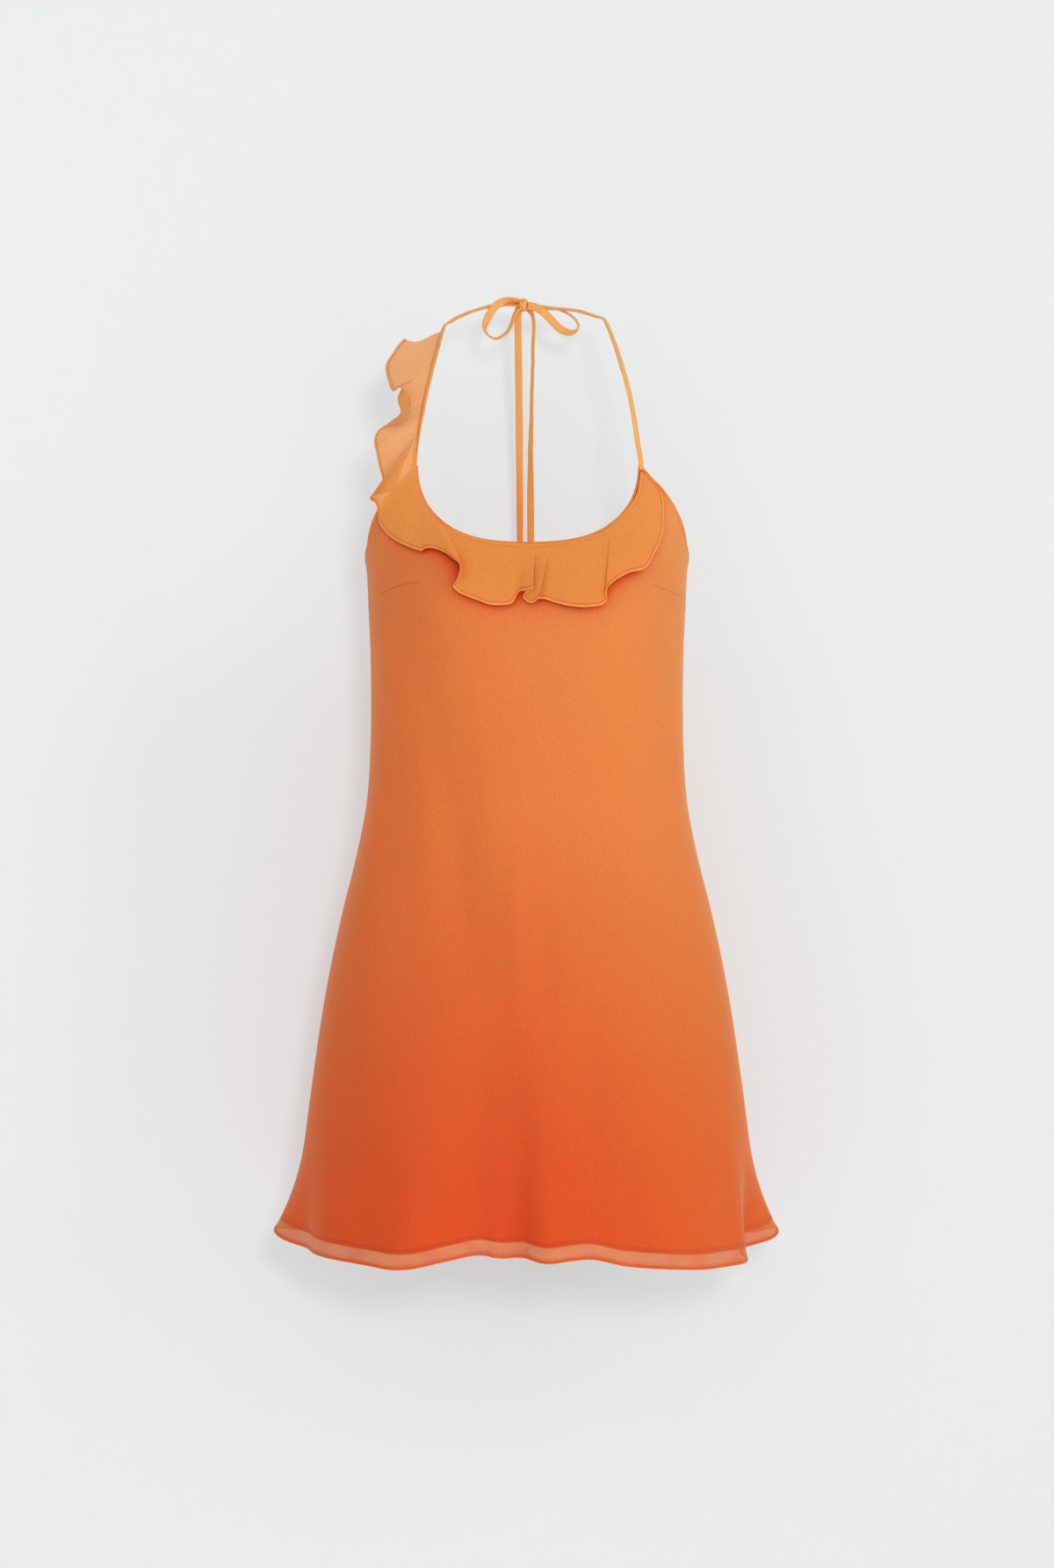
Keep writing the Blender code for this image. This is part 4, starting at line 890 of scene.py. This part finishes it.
def build_stage():
    """A pale wall close behind the dress, lit in part by itself, and a pale floor."""
    tree, shader, material = new_material("backdrop")
    place = add(tree, "TexCoord").outputs["Object"]
    across = add(tree, "SeparateXYZ", {0: place}).outputs["X"]
    grey = ramp(tree, remap(tree, across, -WALL_EVENED, WALL_EVENED), tuple(zip((0.0, 1.0), WALL_GREYS)))
    # cooler just behind the dress, where the cloth's own colour would tint it
    oval = vectors(tree, "MULTIPLY_ADD", place, COOL_SHAPE, COOL_SHIFT)
    away = add(tree, "VectorMath", {0: oval}, operation="LENGTH").outputs["Value"]
    near = remap(tree, away, COOL_FROM, COOL_FULL, interpolation_type="SMOOTHSTEP")
    cool = add(tree, "Mix", {0: near, 6: grey, 7: WALL_COOL}, data_type="RGBA", blend_type="MULTIPLY")
    feed(tree, shader, {"Base Color": cool.outputs[2], "Emission Strength": WALL_GLOW, **MATT})
    # from behind, the wall is clear
    behind = add(tree, "NewGeometry").outputs["Backfacing"]
    shown = mix(tree, behind, shader.outputs["BSDF"], add(tree, "BsdfTransparent").outputs["BSDF"])
    feed(tree, tree.nodes["Material Output"], {"Surface": shown})
    half, low, high = WALL_HALF, WALL_LOW, WALL_HIGH
    corners = [(-half, WALL_Y, low), (half, WALL_Y, low), (half, WALL_Y, high), (-half, WALL_Y, high)]
    wall = mesh_object("backdrop", corners, [(0, 1, 2, 3)], material)
    wall.visible_shadow = False

    # a glow that only the camera sees keeps the floor's far parts pale and the dress's light as it is
    tree, shader, material = new_material("floor")
    glow = maths(tree, "MULTIPLY", add(tree, "LightPath").outputs["Is Camera Ray"], FLOOR_GLOW)
    feed(tree, shader, {"Base Color": FLOOR_GREY, "Emission Strength": glow, **MATT})
    corners = [(x * FLOOR_REACH, y * FLOOR_REACH, low) for x, y in ((-1, -1), (1, -1), (1, 1), (-1, 1))]
    floor = mesh_object("floor", corners, [(0, 1, 2, 3)], material)


# Columns: name, place, target, width, height, watts
LIGHTS = (
    ("key", (0.33, -3.6, 0.0), (0.0, 0.0, -0.45), 0.36, 0.36, 37.0),
    ("right_side", (2.3, -1.5, 0.3), (0.0, -0.05, -0.45), 1.4, 2.2, 23.0),
    ("fill", (-1.5, -3.2, 0.2), (0.0, 0.0, -0.45), 3.2, 3.2, 20.0),
    ("behind_left", (-1.6, 2.6, 0.9), (0.0, 0.0, -0.45), 1.8, 1.8, 11.0),
    ("behind_right", (1.7, 2.4, 0.6), (0.0, 0.0, -0.45), 1.6, 1.6, 10.0),
)
CAMERA_PLACE = (0.0, -3.2465, -0.4542)
FRAME_HALF_HEIGHT = 0.73226  # at the side seams
CAMERA_DISTANCE = 3.2
SENSOR = 24.0
AMBIENT, SEEN_WORLD = 0.41, (0.84, 0.84, 0.84, 1.0)


def build_lights_and_camera():
    for name, place, target, width, height, watts in LIGHTS:
        light = bpy.data.lights.new(name, "AREA")
        light.shape = "RECTANGLE"
        light.size = width
        light.size_y = height
        light.energy = watts
        lamp = linked(name, light)
        lamp.location = place
        lamp.rotation_euler = (Vector(target) - Vector(place)).to_track_quat("-Z", "Y").to_euler()
        lamp.visible_camera = False
    world = bpy.data.worlds.new("studio")
    world.use_nodes = True
    tree = world.node_tree
    seen = feed(tree, tree.nodes["Background"], {"Color": SEEN_WORLD})
    ambient = add(tree, "Background", {"Color": WHITE, "Strength": AMBIENT}).outputs["Background"]
    ray = add(tree, "LightPath").outputs["Is Camera Ray"]
    shown = mix(tree, ray, ambient, seen.outputs["Background"])
    feed(tree, tree.nodes["World Output"], {"Surface": shown})
    bpy.context.scene.world = world
    camera = bpy.data.cameras.new("camera")
    camera.sensor_fit = "VERTICAL"
    camera.sensor_height = SENSOR
    camera.lens = SENSOR / 2 * CAMERA_DISTANCE / FRAME_HALF_HEIGHT
    camera.clip_end = 60.0
    viewer = linked("camera", camera)
    viewer.location = CAMERA_PLACE
    viewer.rotation_euler = (math.pi / 2, 0.0, 0.0)
    bpy.context.scene.camera = viewer
    bpy.context.scene.view_settings.view_transform = "Standard"


# ---------------------------------------------------------------- put together
# Columns: side, flat width and length, area, what it rests on
SHELL_CUTS = (
    ("front", (0.66, 0.74), 0.335, ["strap_left", "strap_right"]),
    ("back", (0.66, 0.65), 0.29, ["shell_front"]),
)


def settle(piece, node=None):
    """Put a piece on the one body, and hide the node that it stands for."""
    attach(piece, "root")
    if node:
        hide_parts(node)


def build_materials():
    # painted light and sheen: the shell's colour leans yellower to the right and at the skirt's sides
    dyed = dict(lift=(0.97, 1.02, 1.06), painted_light_lean=True)
    pale = dict(dyes=RUFFLE_DYE)
    # painted shade: each cloth darkens where other cloth lies close; the shell's deep red tint is the shade
    # under the flounce
    return {
        "shell": georgette("shell_georgette", **dyed, through_light=0.08, depth=0.034,
                           painted_shade_tint=(0.76, 0.13, 0.07), painted_shade_range=(0.52, 0.97), crinkle=0.22),
        "hem": georgette("shell_hem_sheer", **dyed, through_light=0.20, depth=0.006, sheer=0.10,
                         bare=BARE_HEM),
        "roll": georgette("hem_roll", lift=(0.98, 1.70, 1.5), through_light=0.05, depth=0.004),
        "roll_top": georgette("edge_roll", lift=(1.0, 1.05, 1.0), through_light=0.05),
        "lining": georgette("lining_cloth", lift=(0.97, 0.90, 0.85), through_light=0.10, crinkle=0.03),
        "ruffle": georgette("ruffle_georgette", **pale, through_light=0.14, sheer=0.08, depth=0.012,
                            painted_shade_tint=(0.88, 0.62, 0.46), crinkle=0.35),
        "ruffle_roll": georgette("ruffle_roll", **pale, lift=(1.04, 1.10, 1.05), through_light=0.10,
                                 depth=0.003),
        "tie": georgette("tie_georgette", **pale, lift=(1.07, 1.15, 1.12), through_light=0.04, depth=0.005),
        "thread": georgette("sewing_thread", lift=(0.70, 0.40, 0.30)),
    }


def main():
    materials = build_materials()
    panels = build_panels(materials)
    ruffle, *ruffle_details = build_ruffle(materials)
    darts = [build_dart(side, materials["thread"]) for side in DARTS]
    for side, (shell, lining, hem, fold, bind, thread) in panels.items():
        settle(shell, f"shell_{side}")
        settle(lining, f"lining_{side}")
        for piece in (hem, bind, thread):
            settle(piece)
        settle(fold)
    for side, flat, area, rests_on in SHELL_CUTS:
        shell, _, hem, *_ = panels[side]
    for piece in darts:
        settle(piece)
    settle(ruffle, "neck_ruffle")
    for piece in ruffle_details:
        settle(piece)
    for name, route, width in TAPES:
        piece = tape(name, route, width, materials["tie"])
        settle(piece, name)
    settle(build_knot(materials["tie"]), "bow_knot")
    build_stage()
    build_lights_and_camera()


main()
